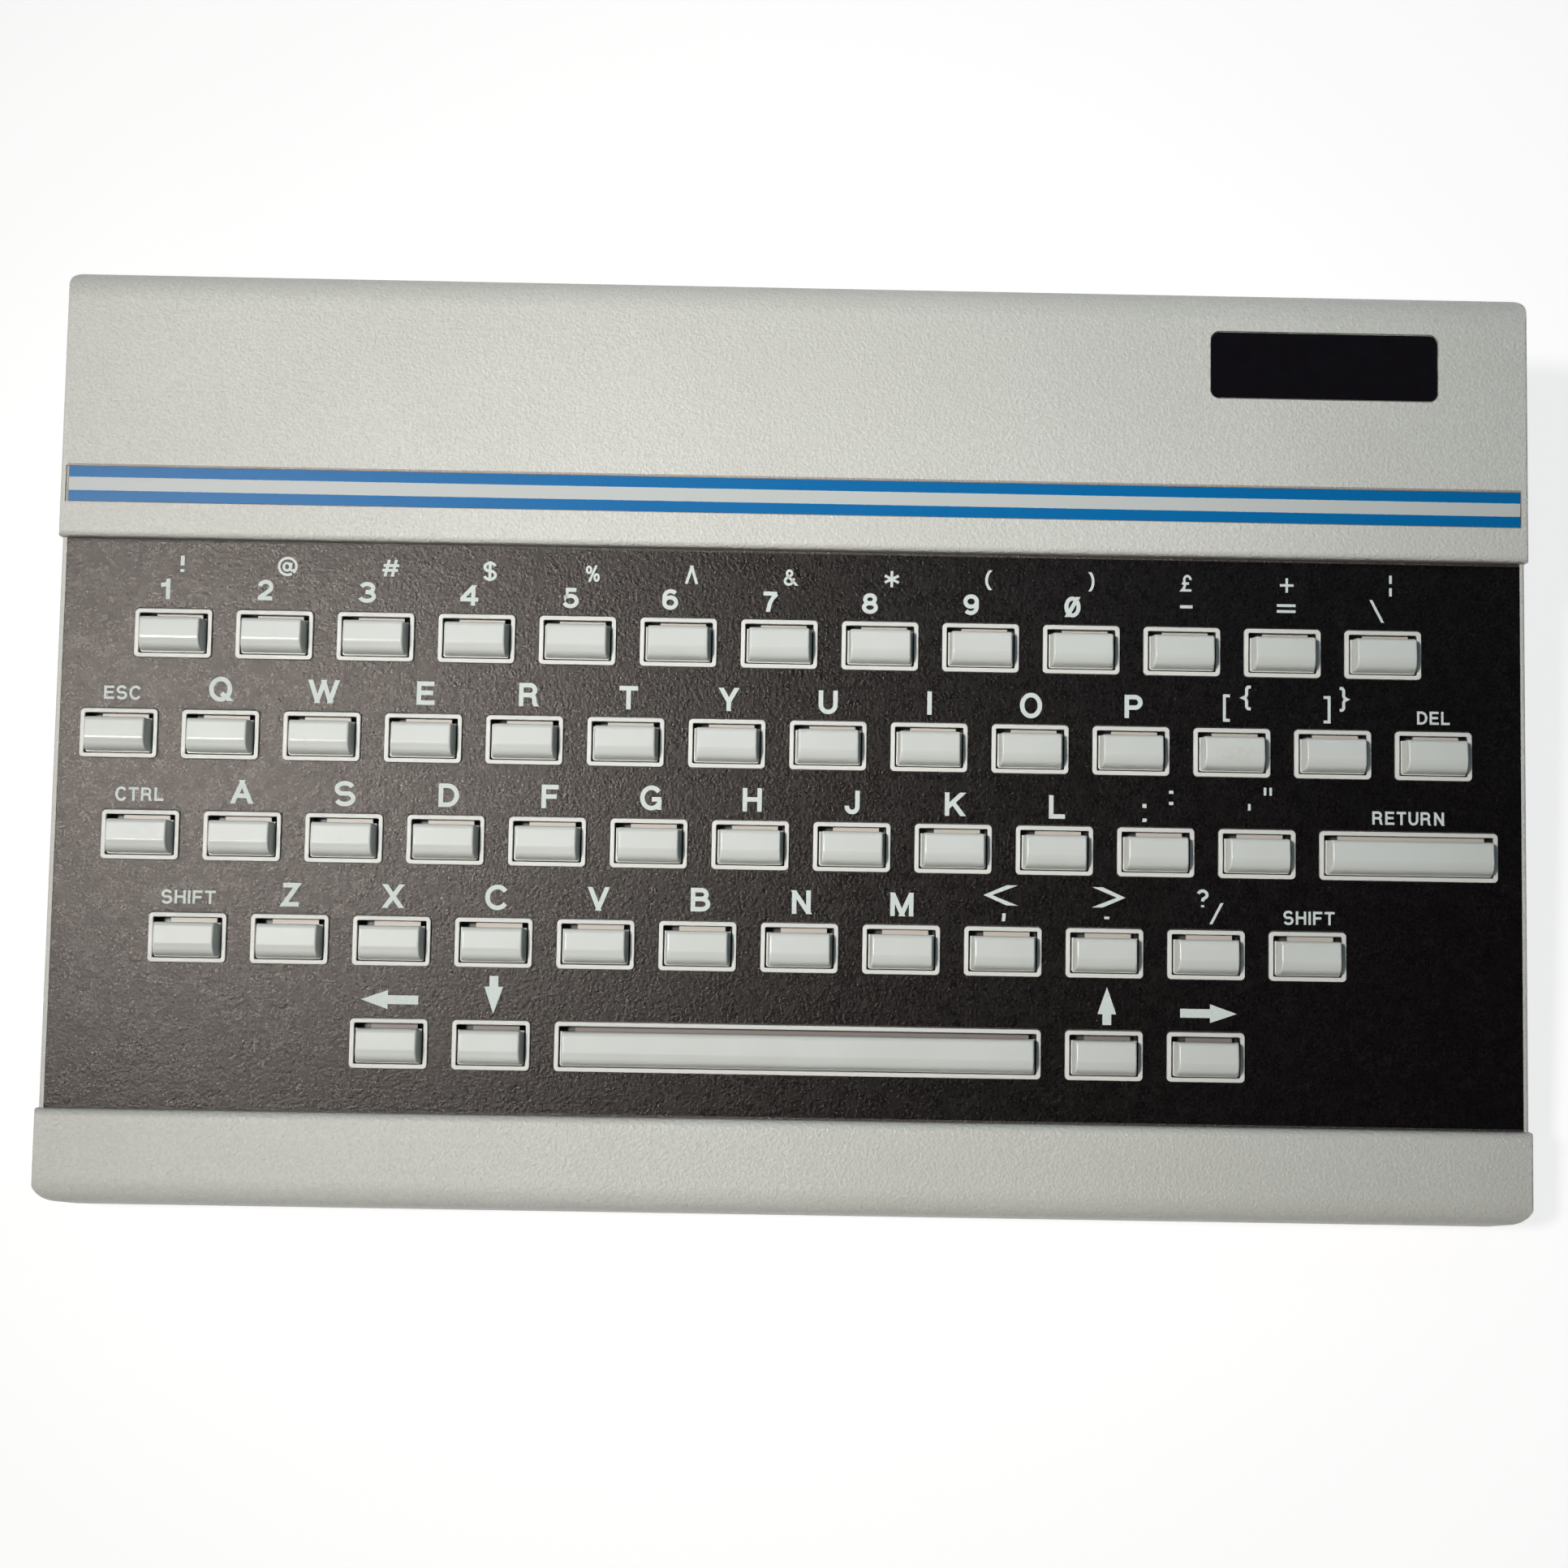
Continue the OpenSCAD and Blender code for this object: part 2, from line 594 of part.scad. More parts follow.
module tv_modulator() color(metal) difference() {
    union() {
        box(span(tv_x, can_size[0] / 2), [can_y - can_size[1], can_y],
            [board_top, board_top + can_size[2]]);
        translate([tv_x, can_y - eps, tv_z]) rotate([-90, 0, 0]) cylinder(r = 4.15, h = face_y - can_y);
        translate([tv_x, can_y - eps, tv_z]) rotate([-90, 0, 0]) cylinder(r = 5.6, h = 1);
    }
    translate([tv_x, face_y + 1, tv_z]) rotate([90, 0, 0]) cylinder(r = tv_r, h = 9);
    // turned-in seam of the lid
    translate([tv_x, can_y - can_size[1] / 2, board_top + can_size[2] - 0.4]) linear_extrude(1)
        difference() {
            square([can_size[0] - 3, can_size[1] - 3], center = true);
            square([can_size[0] - 4, can_size[1] - 4], center = true);
        }
}

// Round socket: a cup for the plug's shell, with contact holes in its floor
module din_socket(x, angles) translate([x, face_y, din_z]) rotate([90, 0, 0]) difference() {
    linear_extrude(din_size[1]) square([din_size[0], din_size[2]], center = true);
    translate([0, 0, -1]) cylinder(r = din_r, h = 7);
    for (a = angles) rotate(a) translate([4.3, 0, 0]) cylinder(r = 0.75, h = 11);
    translate([-1.2, -din_r - 0.8, -1]) cube([2.4, 2, 7]);
}

module din_sockets() color(black) {
    din_socket(rgb_x, [0, 45, 90, 135, 180]);
    din_socket(tape_x, [-18, 0, 45, 90, 135, 180, 198]);
}

// Shrouded header with two rows of pins, lying on the board
module pin_header(x, count) {
    l = pins_l(count);
    difference() {
        box(span(x, l / 2), [face_y - header_d, face_y], [board_top, board_top + header_h]);
        box(span(x, l / 2 - 1.2), [face_y - 6.6, face_y + 1],
            [board_top + 1.3, board_top + header_h - 1.3]);
        box(span(x, 2.2), [face_y - 6.6, face_y + 1], [board_top + 4, board_top + header_h + 1]);
    }
    for (i = [0 : count / 2 - 1], j = [-0.5, 0.5])
        translate([x + (i - (count / 2 - 1) / 2) * pin_pitch - 0.32, face_y - 8,
                   board_top + header_h / 2 + j * pin_pitch - 0.32]) cube([0.64, 5, 0.64]);
}

module pin_headers() color([0.15, 0.15, 0.16]) {
    pin_header(printer_x, 20);
    pin_header(expansion_x, 34);
}

module power_socket() color(black) translate([power_x, face_y, power_z]) rotate([90, 0, 0]) {
    difference() {
        translate([-power_size[0] / 2, board_top - power_z, 0])
            cube([power_size[0], power_size[2], power_size[1]]);
        translate([0, 0, -1]) cylinder(r = power_r, h = 6.5);
        cylinder(r = power_r - 0.3, h = 11);
    }
    translate([0, 0, 6]) cylinder(r = 1.05, h = 6);
}

// Basket, cone and magnet turned round one axis, standing on the tray's floor
module speaker() color([0.2, 0.2, 0.2]) translate([speaker_pos[0], speaker_pos[1], floor_z])
    rotate_extrude()
        polygon([[speaker_r - 3, 0], [speaker_r, 0], [speaker_r, 1.6], [speaker_r - 3, 1.6],
                 [14, 8], [14, 13.5], [0, 13.5], [0, 7.6], [9, 7], [speaker_r - 4, 1]]);

module reset_button() color([0.7, 0.15, 0.12]) translate([reset_pos[0], reset_pos[1], reset_z]) {
    cylinder(r = 2.2, h = wall);
    translate([0, 0, wall - reset_flange / 2]) cylinder(r = 3.4, h = reset_flange);
}

// ---- Nodes ----

upper_case();
lower_case();
key_fascia();
stripe_tape();
badge_plate();
keyboard_board();
key_mat();
keyboard_ribbon();
main_board();
board_chips();
heat_sink();
tv_modulator();
din_sockets();
pin_headers();
power_socket();
speaker();
reset_button();
rubber_feet();
case_screws();
control_keys();
symbol_keys();
cursor_keys();
for (k = single_keys) single_key(k[1]);
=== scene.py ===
from math import atan2, cos, dist, hypot, pi, radians, sin

import bmesh
import bpy
from mathutils import Matrix, Vector


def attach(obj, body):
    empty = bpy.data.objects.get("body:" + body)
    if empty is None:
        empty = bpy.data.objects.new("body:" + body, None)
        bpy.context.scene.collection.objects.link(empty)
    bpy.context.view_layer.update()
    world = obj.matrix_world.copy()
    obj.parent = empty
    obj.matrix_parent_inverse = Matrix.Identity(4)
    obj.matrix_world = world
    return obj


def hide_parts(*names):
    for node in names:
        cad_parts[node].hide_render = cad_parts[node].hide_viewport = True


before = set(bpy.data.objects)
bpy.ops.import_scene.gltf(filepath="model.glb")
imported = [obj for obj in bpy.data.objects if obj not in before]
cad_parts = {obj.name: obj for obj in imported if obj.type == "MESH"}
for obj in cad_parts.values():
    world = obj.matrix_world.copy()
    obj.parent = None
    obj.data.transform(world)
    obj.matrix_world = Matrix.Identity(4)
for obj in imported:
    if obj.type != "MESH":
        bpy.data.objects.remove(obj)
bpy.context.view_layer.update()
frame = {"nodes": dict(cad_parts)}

nodes, scene = frame["nodes"], bpy.context.scene
print("frame loaded:", len(nodes), "nodes")


mm = 0.001


class Sizes(dict):
    # a dictionary whose values are also read as sizes.name
    __getattr__ = dict.__getitem__


# Two ways from millimetres to the model's metres: flat on the desk, or on the sloping key deck,
# where x runs to the right, y up the slope and z out of the black fascia
deck = Sizes(slope=10, homeY=-19.95, homeZ=29.8, pitch=19.05, middleColumn=6.14173)
onDesk = Matrix.Scale(mm, 4)
onDeck = (Matrix.Translation((0, deck.homeY * mm, deck.homeZ * mm))
    @ Matrix.Rotation(radians(deck.slope), 4, "X") @ onDesk)


def keyPlace(column, row):
    return (column - deck.middleColumn) * deck.pitch, (3 - row) * deck.pitch


# modelling helpers, all in millimetres

def selectOnly(*pieces):
    # the first piece becomes the active one
    bpy.ops.object.select_all(action="DESELECT")
    for piece in reversed(pieces):
        piece.select_set(True)
        bpy.context.view_layer.objects.active = piece


def addObject(name, data):
    piece = bpy.data.objects.new(name, data)
    scene.collection.objects.link(piece)
    return piece


def addBlock(low, high, name="block"):
    selectOnly()
    bpy.ops.mesh.primitive_cube_add(size=1, location=[(a + b) / 2 for a, b in zip(low, high)])
    block = bpy.context.object
    block.name = name
    block.scale = [b - a for a, b in zip(low, high)]
    bpy.ops.object.transform_apply()
    return block


def addDrum(radius, low, high, at=(0, 0), sides=48):
    selectOnly()
    bpy.ops.mesh.primitive_cylinder_add(vertices=sides, radius=radius, depth=high - low,
        location=(at[0], at[1], (low + high) / 2))
    bpy.ops.object.transform_apply()
    return bpy.context.object


def openEdit(piece, kind, wanted=lambda part: True):
    # into edit mode with only the wanted corners, edges or faces selected
    if piece.mode != "EDIT":
        selectOnly(piece)
        bpy.ops.object.mode_set(mode="EDIT")
    bpy.ops.mesh.select_mode(type=kind)
    bpy.ops.mesh.select_all(action="DESELECT")
    mesh = bmesh.from_edit_mesh(piece.data)
    mesh.normal_update()
    for part in list({"VERT": mesh.verts, "EDGE": mesh.edges, "FACE": mesh.faces}[kind]):
        if wanted(part):
            part.select_set(True)
    mesh.select_flush_mode()
    bmesh.update_edit_mesh(piece.data)


def closeEdit():
    bpy.ops.object.mode_set(mode="OBJECT")


def bevelEdges(piece, width, segments, wanted=lambda edge: True):
    openEdit(piece, "EDGE", wanted)
    bpy.ops.mesh.bevel(offset=width, segments=segments, clamp_overlap=True)
    closeEdit()


def shrinkTop(piece, across, along, rise=0):
    # narrows the top face, after raising a copy of it where rise is given
    openEdit(piece, "FACE", lambda f: f.normal.z > 0.9)
    if rise:
        bpy.ops.mesh.extrude_region_move(TRANSFORM_OT_translate={"value": (0, 0, rise)})
    bpy.ops.transform.resize(value=(across, along, 1))
    closeEdit()


def upright(edge):
    a, b = edge.verts[0].co, edge.verts[1].co
    return abs(a.x - b.x) < 1e-4 and abs(a.y - b.y) < 1e-4


def level(edge, height):
    return all(abs(v.co.z - height) < 1e-3 for v in edge.verts)


def frontEdge(edge):
    return level(edge, 0) or upright(edge)


def mouthEdge(edge, reach):
    # an edge round the opening in the face at height 0
    return level(edge, 0) and all(hypot(*v.co.xy) < reach for v in edge.verts)


def useModifier(piece, kind, **settings):
    selectOnly(piece)
    modifier = piece.modifiers.new(kind.title(), kind)
    for name, value in settings.items():
        setattr(modifier, name, value)
    bpy.ops.object.modifier_apply(modifier=modifier.name)


def joinPieces(name, *pieces):
    selectOnly(*pieces)
    if len(pieces) > 1:
        bpy.ops.object.join()
    bpy.context.object.name = name
    return bpy.context.object


def smoothPiece(piece, angle=35):
    selectOnly(piece)
    bpy.ops.object.shade_smooth_by_angle(angle=radians(angle))
    useModifier(piece, "WEIGHTED_NORMAL", keep_sharp=True, weight=50)


def cutAway(piece, *cutters, operation="DIFFERENCE"):
    for cutter in cutters:
        useModifier(piece, "BOOLEAN", operation=operation, object=cutter, solver="EXACT")
        bpy.data.objects.remove(cutter)


def meshPiece(name, corners, edges, faces):
    mesh = bpy.data.meshes.new(name)
    mesh.from_pydata(corners, edges, faces)
    return addObject(name, mesh)


def bow(x, y, wide, high, start, end):
    # points of a round stroke, in degrees from the right, counted up
    steps = max(3, round(abs(end - start) / 14))
    turns = [radians(start + (end - start) * i / steps) for i in range(steps + 1)]
    return [(x + wide * cos(t), y + high * sin(t)) for t in turns]


def points(text):
    # each word is a point x,y, or a bow about x,y as x,y,wide,high,start,end
    found = []
    for word in text.split():
        numbers = [float(n) for n in word.split(",")]
        found += bow(*numbers) if len(numbers) > 2 else [tuple(numbers)]
    return found


def turnOutline(name, outline, closed=True, steps=40):
    # corners given as radius and height, turned once round the upright axis
    count = len(outline)
    edges = [(i, (i + 1) % count) for i in range(count if closed else count - 1)]
    piece = meshPiece(name, [(radius, 0, height) for radius, height in outline], edges, [])
    useModifier(piece, "SCREW", steps=steps, render_steps=steps, use_merge_vertices=True)
    openEdit(piece, "FACE")
    bpy.ops.mesh.remove_doubles(threshold=0.0005)
    bpy.ops.mesh.normals_make_consistent(inside=False)
    closeEdit()
    return piece


def copyPiece(piece, name, shift=(0, 0, 0)):
    twin = piece.copy()
    twin.data = piece.data.copy()
    twin.name = name
    scene.collection.objects.link(twin)
    twin.data.transform(Matrix.Translation(shift))
    return twin


def repeated(name, piece, places):
    # one piece out of copies at each place; the first piece is used up
    twins = [copyPiece(piece, name, (x, y, 0)) for x, y in places]
    bpy.data.objects.remove(piece)
    return joinPieces(name, *twins)


def settle(piece, place, finish, body="case", replaced=None):
    # puts a finished piece into the model's frame and fixes it to its body
    piece.data.transform(place)
    piece.data.materials.clear()
    piece.data.materials.append(finishes[finish])
    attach(piece, body)
    if replaced:
        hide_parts(replaced)


def settleParts(node, place, *parts, body="case"):
    # settles the parts that stand for a node, and the first of them hides it
    for i, (piece, finish) in enumerate(parts):
        smoothPiece(piece)
        settle(piece, place, finish, body, None if i else node)


# material helpers: they add nodes to the material that newMaterial began last
paint, finishes = {}, {}


def newMaterial(name, colour, roughness, gloss=0.5, tint=(1, 1, 1, 1), metallic=0):
    material = finishes[name] = bpy.data.materials.new(name)
    material.use_nodes = True
    paint["tree"] = material.node_tree
    paint["shader"] = material.node_tree.nodes["Principled BSDF"].inputs
    for value, socket in (((*colour, 1), "Base Color"), (roughness, "Roughness"),
            (gloss, "Specular IOR Level"), (tint, "Specular Tint"), (metallic, "Metallic")):
        feed(value, socket)
    return addNode("TexCoord", {}).outputs["Object"]


def addNode(kind, inputs, **settings):
    node = paint["tree"].nodes.new("ShaderNode" + kind)
    for name, value in settings.items():
        setattr(node, name, value)
    for name, value in inputs.items():
        connect(value, node.inputs[name])
    return node


def connect(value, socket):
    if isinstance(value, bpy.types.NodeSocket):
        paint["tree"].links.new(value, socket)
    else:
        socket.default_value = value


def feed(value, name):
    connect(value, paint["shader"][name])


def noise(place, size, detail=3, rough=0.55):
    # size is the width of one bump, in millimetres
    return addNode("TexNoise", {"Vector": place, "Scale": 1000 / size, "Detail": detail,
        "Roughness": rough}).outputs["Fac"]


def remap(value, fromLow, fromHigh, low, high):
    return addNode("MapRange", {"Value": value, "From Min": fromLow, "From Max": fromHigh,
        "To Min": low, "To Max": high}).outputs["Result"]


def cloud(place, size, low, high, fromLow=0.35, fromHigh=0.65, detail=3, rough=0.55):
    # a noise whose values between fromLow and fromHigh are spread from low to high
    return remap(noise(place, size, detail, rough), fromLow, fromHigh, low, high)


def maths(operation, first, second, kind="Math"):
    return addNode(kind, {0: first, 1: second}, operation=operation).outputs["Value"]


def times(first, second):
    return maths("MULTIPLY", first, second)


def plus(first, second):
    return maths("ADD", first, second)


def minus(first, second):
    return maths("SUBTRACT", first, second)


def blendColours(amount, first, second):
    mix = addNode("Mix", {}, data_type="RGBA")
    sockets = {socket.identifier: socket for socket in (*mix.inputs, *mix.outputs)}
    connect(amount, sockets["Factor_Float"])
    for colour, end in ((first, "A_Color"), (second, "B_Color")):
        connect(colour if isinstance(colour, bpy.types.NodeSocket) else (*colour, 1), sockets[end])
    return sockets["Result_Color"]


def bumpy(height, depth):
    # depth in millimetres
    bump = addNode("Bump", {"Height": height, "Distance": depth * mm})
    feed(bump.outputs["Normal"], "Normal")


def deckDistance(place, axis):
    # metres across the key deck (axis 0), up its slope (1) or out of its black fascia (2)
    way = onDeck.col[axis].xyz.normalized()
    return minus(maths("DOT_PRODUCT", place, way, "VectorMath"), way.dot(onDeck.translation))


def between(value, low, high, edge=0.1):
    # 1 between two limits in millimetres, fading over edge
    up = remap(value, (low - edge) * mm, low * mm, 0, 1)
    down = remap(value, high * mm, (high + edge) * mm, 1, 0)
    return times(up, down)


def inBox(across, along, box, edge=0.1):
    # 1 in a box on the deck, from its lower left to its upper right corner
    return times(between(along, box[1], box[3], edge), between(across, box[0], box[2], edge))


shellLook = Sizes(colour=(0.674, 0.689, 0.656), shade=(0.621, 0.63, 0.589), roughness=0.44,
    gloss=0.65, grain=0.62, grainDepth=0.27, fleck=(0.9, 0.92, 0.88), collar=(0.71, 0.725, 0.69),
    collarRoughness=0.58, collarBump=0.15, fascia=(-137.3, -50.4, 137.3, 55.3),
    grime=(0.04, 0.03, 0.028), sunk=(-137.9, -51.1, 137.9, 56.2), seam=(0.3, 0.245, 0.21),
    seamDepth=0.75, tapeSeat=(-137.4, 62.42, 137.25, 69.68))


def makeShellPlastic(look):
    place = newMaterial("shellPlastic", look.colour, look.roughness, look.gloss)
    across, along, height = [deckDistance(place, axis) for axis in range(3)]
    grain = noise(place, look.grain, 3, 0.65)
    mottle = plus(cloud(place, 60, 0, 0.6), cloud(place, 0.7, 0, 0.9, detail=2, rough=0.6))
    colour = blendColours(mottle, [c * 1.03 for c in look.colour], look.shade)
    # pale slanted flecks painted into the colour stand in for glints of the grain
    slanted = addNode("Mapping", {"Vector": place, "Rotation": (0, 0, radians(35)),
        "Scale": (0.45, 1, 1)}).outputs["Vector"]
    fleck = times(cloud(slanted, 0.5, 0, 0.16, 0.57, 0.7, 2, 0.6),
        cloud(place, 25, 0.2, 1, 0.4, 0.6, 2))
    colour = blendColours(fleck, colour, look.fleck)
    # the collars stand up through the black fascia, and what lies under its face is painted dark
    # as shade
    collar = times(between(height, 0.08, 0.9), inBox(across, along, look.fascia))
    sunk = times(between(height, -3.2, -0.08, 0.06), inBox(across, along, look.sunk))
    # the collars are painted paler: partly worn polish, partly painted highlight on their rounded
    # rims
    colour = blendColours(collar, colour, look.collar)
    # a dark line shows where the striped tape ends in its seat
    seam = times(inBox(across, along, look.tapeSeat, 0.05), look.seamDepth)
    colour = blendColours(seam, colour, look.seam)
    feed(blendColours(sunk, colour, look.grime), "Base Color")
    rough = remap(grain, 0.3, 0.7, look.roughness + 0.12, look.roughness - 0.22)
    feed(minus(rough, times(collar, look.roughness - look.collarRoughness)), "Roughness")
    bumpy(times(grain, minus(1, times(collar, 1 - look.collarBump))), look.grainDepth)


makeShellPlastic(shellLook)

keyCap = Sizes(length=12.3, width=7, height=3.6, rearDrop=0.42, plateTop=0.35, plateCorner=0.45,
    plateEdge=0.07, forward=0.12, inset=0.12, domeFront=-3.4, domeRear=2.86, frontRound=2.7,
    rearRound=0.8, draft=0.45, endRound=0.32, cornerRear=1.1, cornerFront=0.7, overlap=0.2,
    ledgeTop=-0.9, ledgeRear=3.74, ledgeEdge=0.1, dashLeft=2.6, dashRight=1, flangeTop=-3.1,
    flange=0.9, flangeOut=1, tailIn=1.5, stemTip=-5.9, stemRadius=2.2, stemEdge=0.3)
keyLook = Sizes(colour=(0.665, 0.7, 0.678), shade=(0.636, 0.668, 0.64), roughness=0.21,
    topRoughness=0.44, ledge=(0.56, 0.5, 0.44), lastLedge=(0.25, 0.215, 0.2),
    deep=(0.07, 0.064, 0.058), stain=(0.5, 0.47, 0.42), stainKey=(10.5, 2), stainAt=(0.6, -0.4),
    stainSize=1.1, stainEdge=0.9, stainSquash=0.35)


def makeKeyPlastic(look):
    place = newMaterial("keyPlastic", look.colour, look.roughness)
    colour = blendColours(cloud(place, 14, 0, 1), look.colour, look.shade)
    height, along = deckDistance(place, 2), deckDistance(place, 1)
    low = between(height, -1.2, 0.16)
    colour = blendColours(times(low, 0.85), colour, look.ledge)
    # behind the row nearest the user the ledge is painted darker as shade and ends in a painted
    # dark line of shade
    colour = blendColours(times(low, between(along, -36, -34.2)), colour, look.lastLedge)
    colour = blendColours(times(low, between(along, -34.62, -34.2, 0.05)), colour, look.deep)
    # parts deep under the keys, seen through the gaps, are painted near black as shade
    colour = blendColours(between(height, -4.5, -1.3), colour, look.deep)
    # an old stain on one key, wider across than along
    x, y = (a + b for a, b in zip(keyPlace(*look.stainKey), look.stainAt))
    squash, edge = look.stainSquash, look.stainEdge
    squashed = addNode("Mapping", {"Vector": place, "Scale": (squash, 1, 1)}).outputs["Vector"]
    centre = onDeck @ Vector((x, y, keyCap.height))
    away = maths("DISTANCE", squashed, (centre.x * squash, centre.y, centre.z), "VectorMath")
    stain = remap(away, (look.stainSize - edge) * mm, (look.stainSize + edge) * mm, 1, 0)
    stain = times(stain, cloud(place, 1.1, 0, 0.55, 0.35, 0.7))
    feed(blendColours(stain, colour, look.stain), "Base Color")
    # the flat tops are duller than the rounded shoulders
    slope = radians(deck.slope)
    slope -= atan2(keyCap.rearDrop, keyCap.domeRear - keyCap.domeFront)
    facing = maths("DOT_PRODUCT", addNode("NewGeometry", {}).outputs["Normal"],
        (0, -sin(slope), cos(slope)), "VectorMath")
    rough = remap(facing, 0.994, 0.9985, look.roughness, look.topRoughness)
    fine = noise(place, 0.5)
    feed(plus(rough, remap(fine, 0.3, 0.7, -0.04, 0.06)), "Roughness")
    bumpy(fine, 0.006)


makeKeyPlastic(keyLook)

fasciaLook = Sizes(colour=(0.0008, 0.0003, 0.0007), dusty=(0.008, 0.006, 0.0078),
    speck=(0.075, 0.066, 0.06), roughness=0.285, patch=0.045, fine=0.04, mark=0.08, gloss=0.41,
    tint=(1, 0.92, 0.86, 1), peel=0.6, peelDepth=0.11)


def makeFasciaBlack(look):
    rough = look.roughness
    place = newMaterial("fasciaBlack", look.colour, rough, look.gloss, look.tint)
    middle = maths("ABSOLUTE", minus(noise(place, 1.3, 2, 0.5), 0.5), 0)
    marks = times(remap(middle, 0, 0.03, 1, 0), cloud(place, 6, 0.15, 1))
    # the specks are dust, painted stronger toward the left of the deck, where they also stand in
    # for glints in the lamp's glare
    dustAndGlintSpecks = times(cloud(place, 0.42, 0, 1, 0.64, 0.74, 2, 0.5),
        cloud(place, 9, 0.1, 1, 0.4, 0.62))
    dustAndGlintSpecks = times(dustAndGlintSpecks, remap(deckDistance(place, 0), -0.03, 0.05, 1, 0.12))
    dusted = blendColours(marks, look.colour, look.dusty)
    feed(blendColours(dustAndGlintSpecks, dusted, look.speck), "Base Color")
    patches = cloud(place, 2.5, rough - look.patch, rough + look.patch, 0.3, 0.7, 5, 0.65)
    patches = plus(patches, cloud(place, 0.45, -look.fine, look.fine, 0.33, 0.67, 3, 0.6))
    feed(plus(patches, times(marks, look.mark)), "Roughness")
    bumpy(noise(place, look.peel, 4, 0.62), look.peelDepth)


makeFasciaBlack(fasciaLook)

inkLook = Sizes(colour=(0.665, 0.735, 0.715), worn=(0.48, 0.53, 0.52), roughness=0.5, gloss=0.12)


def makeLegendInk(look):
    place = newMaterial("legendInk", look.colour, look.roughness, look.gloss)
    wear = cloud(place, 0.6, 0, 0.8, 0.55, 0.75, 4, 0.7)
    feed(blendColours(wear, look.colour, look.worn), "Base Color")
    bumpy(wear, 0.01)


makeLegendInk(inkLook)

stripeLook = Sizes(blue=(0, 0.142, 0.39), grey=(0.555, 0.592, 0.585), roughness=0.36, gloss=0.2,
    lowerTop=64.62, upperFoot=67.15, ragged=0.06)


def makeStripePrint(look):
    # two blue bands along a pale tape, set by the height up the deck
    place = newMaterial("stripePrint", look.grey, look.roughness, look.gloss)
    ragged = look.ragged * mm
    up = plus(deckDistance(place, 1), cloud(place, 0.5, -ragged, ragged, 0, 1))
    bands = plus(maths("LESS_THAN", up, look.lowerTop * mm),
        maths("GREATER_THAN", up, look.upperFoot * mm))
    faded = blendColours(noise(place, 3, 4), look.blue, [c * 1.12 for c in look.blue])
    feed(blendColours(bands, look.grey, faded), "Base Color")
    bumpy(noise(place, 0.7), 0.012)


makeStripePrint(stripeLook)


def makePlain(name, colour, roughness, size, depth, metallic=0, spread=0.12):
    # an even finish with a fine grain and a little variation in colour and gloss
    place = newMaterial(name, colour, roughness, metallic=metallic)
    grain = noise(place, size, 4, 0.6)
    feed(blendColours(noise(place, size * 25), [c * (1 - spread) for c in colour],
        [min(1, c * (1 + spread)) for c in colour]), "Base Color")
    feed(remap(grain, 0.25, 0.75, max(0.02, roughness - 0.07), min(1, roughness + 0.07)),
        "Roughness")
    bumpy(grain, depth)


def makeCircuitBoard():
    # green lacquer over faint copper tracks
    place = newMaterial("circuitBoard", (0.02, 0.1, 0.045), 0.32)
    tracks = addNode("TexBrick", {"Vector": place, "Scale": 190, "Mortar Size": 0.035,
        "Color1": (0, 0, 0, 1), "Color2": (0.15, 0.15, 0.15, 1),
        "Mortar": (1, 1, 1, 1)}).outputs["Color"]
    feed(blendColours(tracks, (0.015, 0.085, 0.035), (0.05, 0.19, 0.075)), "Base Color")
    bumpy(tracks, 0.03)


makeCircuitBoard()


def makeRibbon():
    # ridges of the wires, side by side, painted lighter on top and darker in the grooves between
    # them as shade
    place = newMaterial("ribbonGrey", (0.42, 0.42, 0.44), 0.5)
    waves = addNode("TexWave", {"Vector": place, "Scale": 250, "Distortion": 0},
        bands_direction="X").outputs["Fac"]
    feed(blendColours(waves, (0.36, 0.36, 0.38), (0.5, 0.5, 0.52)), "Base Color")
    bumpy(waves, 0.2)


makeRibbon()

plainLooks = {  # colour, roughness, size and depth of the grain in mm, metallic, variation
    "badgeGloss": ((0.004, 0.003, 0.005), 0.1, 2.5, 0.004),
    "feetRubber": ((0.022, 0.022, 0.024), 0.75, 0.35, 0.03),
    "matRubber": ((0.3, 0.3, 0.28), 0.7, 0.6, 0.03),
    "screwZinc": ((0.62, 0.63, 0.6), 0.32, 0.25, 0.012, 1),
    "heatSinkAluminium": ((0.6, 0.61, 0.62), 0.4, 0.2, 0.01, 1),
    "modulatorTin": ((0.66, 0.66, 0.63), 0.3, 0.9, 0.005, 1, 0.06),
    "socketNylon": ((0.018, 0.018, 0.02), 0.42, 0.3, 0.012),
    "chipEpoxy": ((0.028, 0.028, 0.031), 0.55, 0.2, 0.012),
    "speakerPaper": ((0.035, 0.034, 0.033), 0.8, 0.8, 0.08),
    "resetRed": ((0.46, 0.03, 0.02), 0.38, 0.5, 0.01),
    "contactGold": ((0.76, 0.55, 0.22), 0.26, 0.15, 0.004, 1),
    "socketInsulator": ((0.16, 0.075, 0.035), 0.45, 0.4, 0.008),
    "speakerMagnet": ((0.05, 0.05, 0.052), 0.6, 0.5, 0.02),
}
for name, look in plainLooks.items():
    makePlain(name, *look)
nodeFinishes = {  # the CAD nodes of each finish; all others are keys
    "shellPlastic": "upper_case lower_case", "fasciaBlack": "key_fascia",
    "stripePrint": "stripe_tape", "badgeGloss": "badge_plate",
    "circuitBoard": "keyboard_board main_board", "matRubber": "key_mat",
    "ribbonGrey": "keyboard_ribbon", "chipEpoxy": "board_chips", "heatSinkAluminium": "heat_sink",
    "modulatorTin": "tv_modulator", "socketNylon": "din_sockets pin_headers power_socket",
    "speakerPaper": "speaker", "resetRed": "reset_button", "feetRubber": "rubber_feet",
    "screwZinc": "case_screws",
}
for name, node in nodes.items():
    finish = next((f for f, group in nodeFinishes.items() if name in group.split()), "keyPlastic")
    for materialSlot in node.material_slots:
        materialSlot.material = finishes[finish]
print("materials ready")


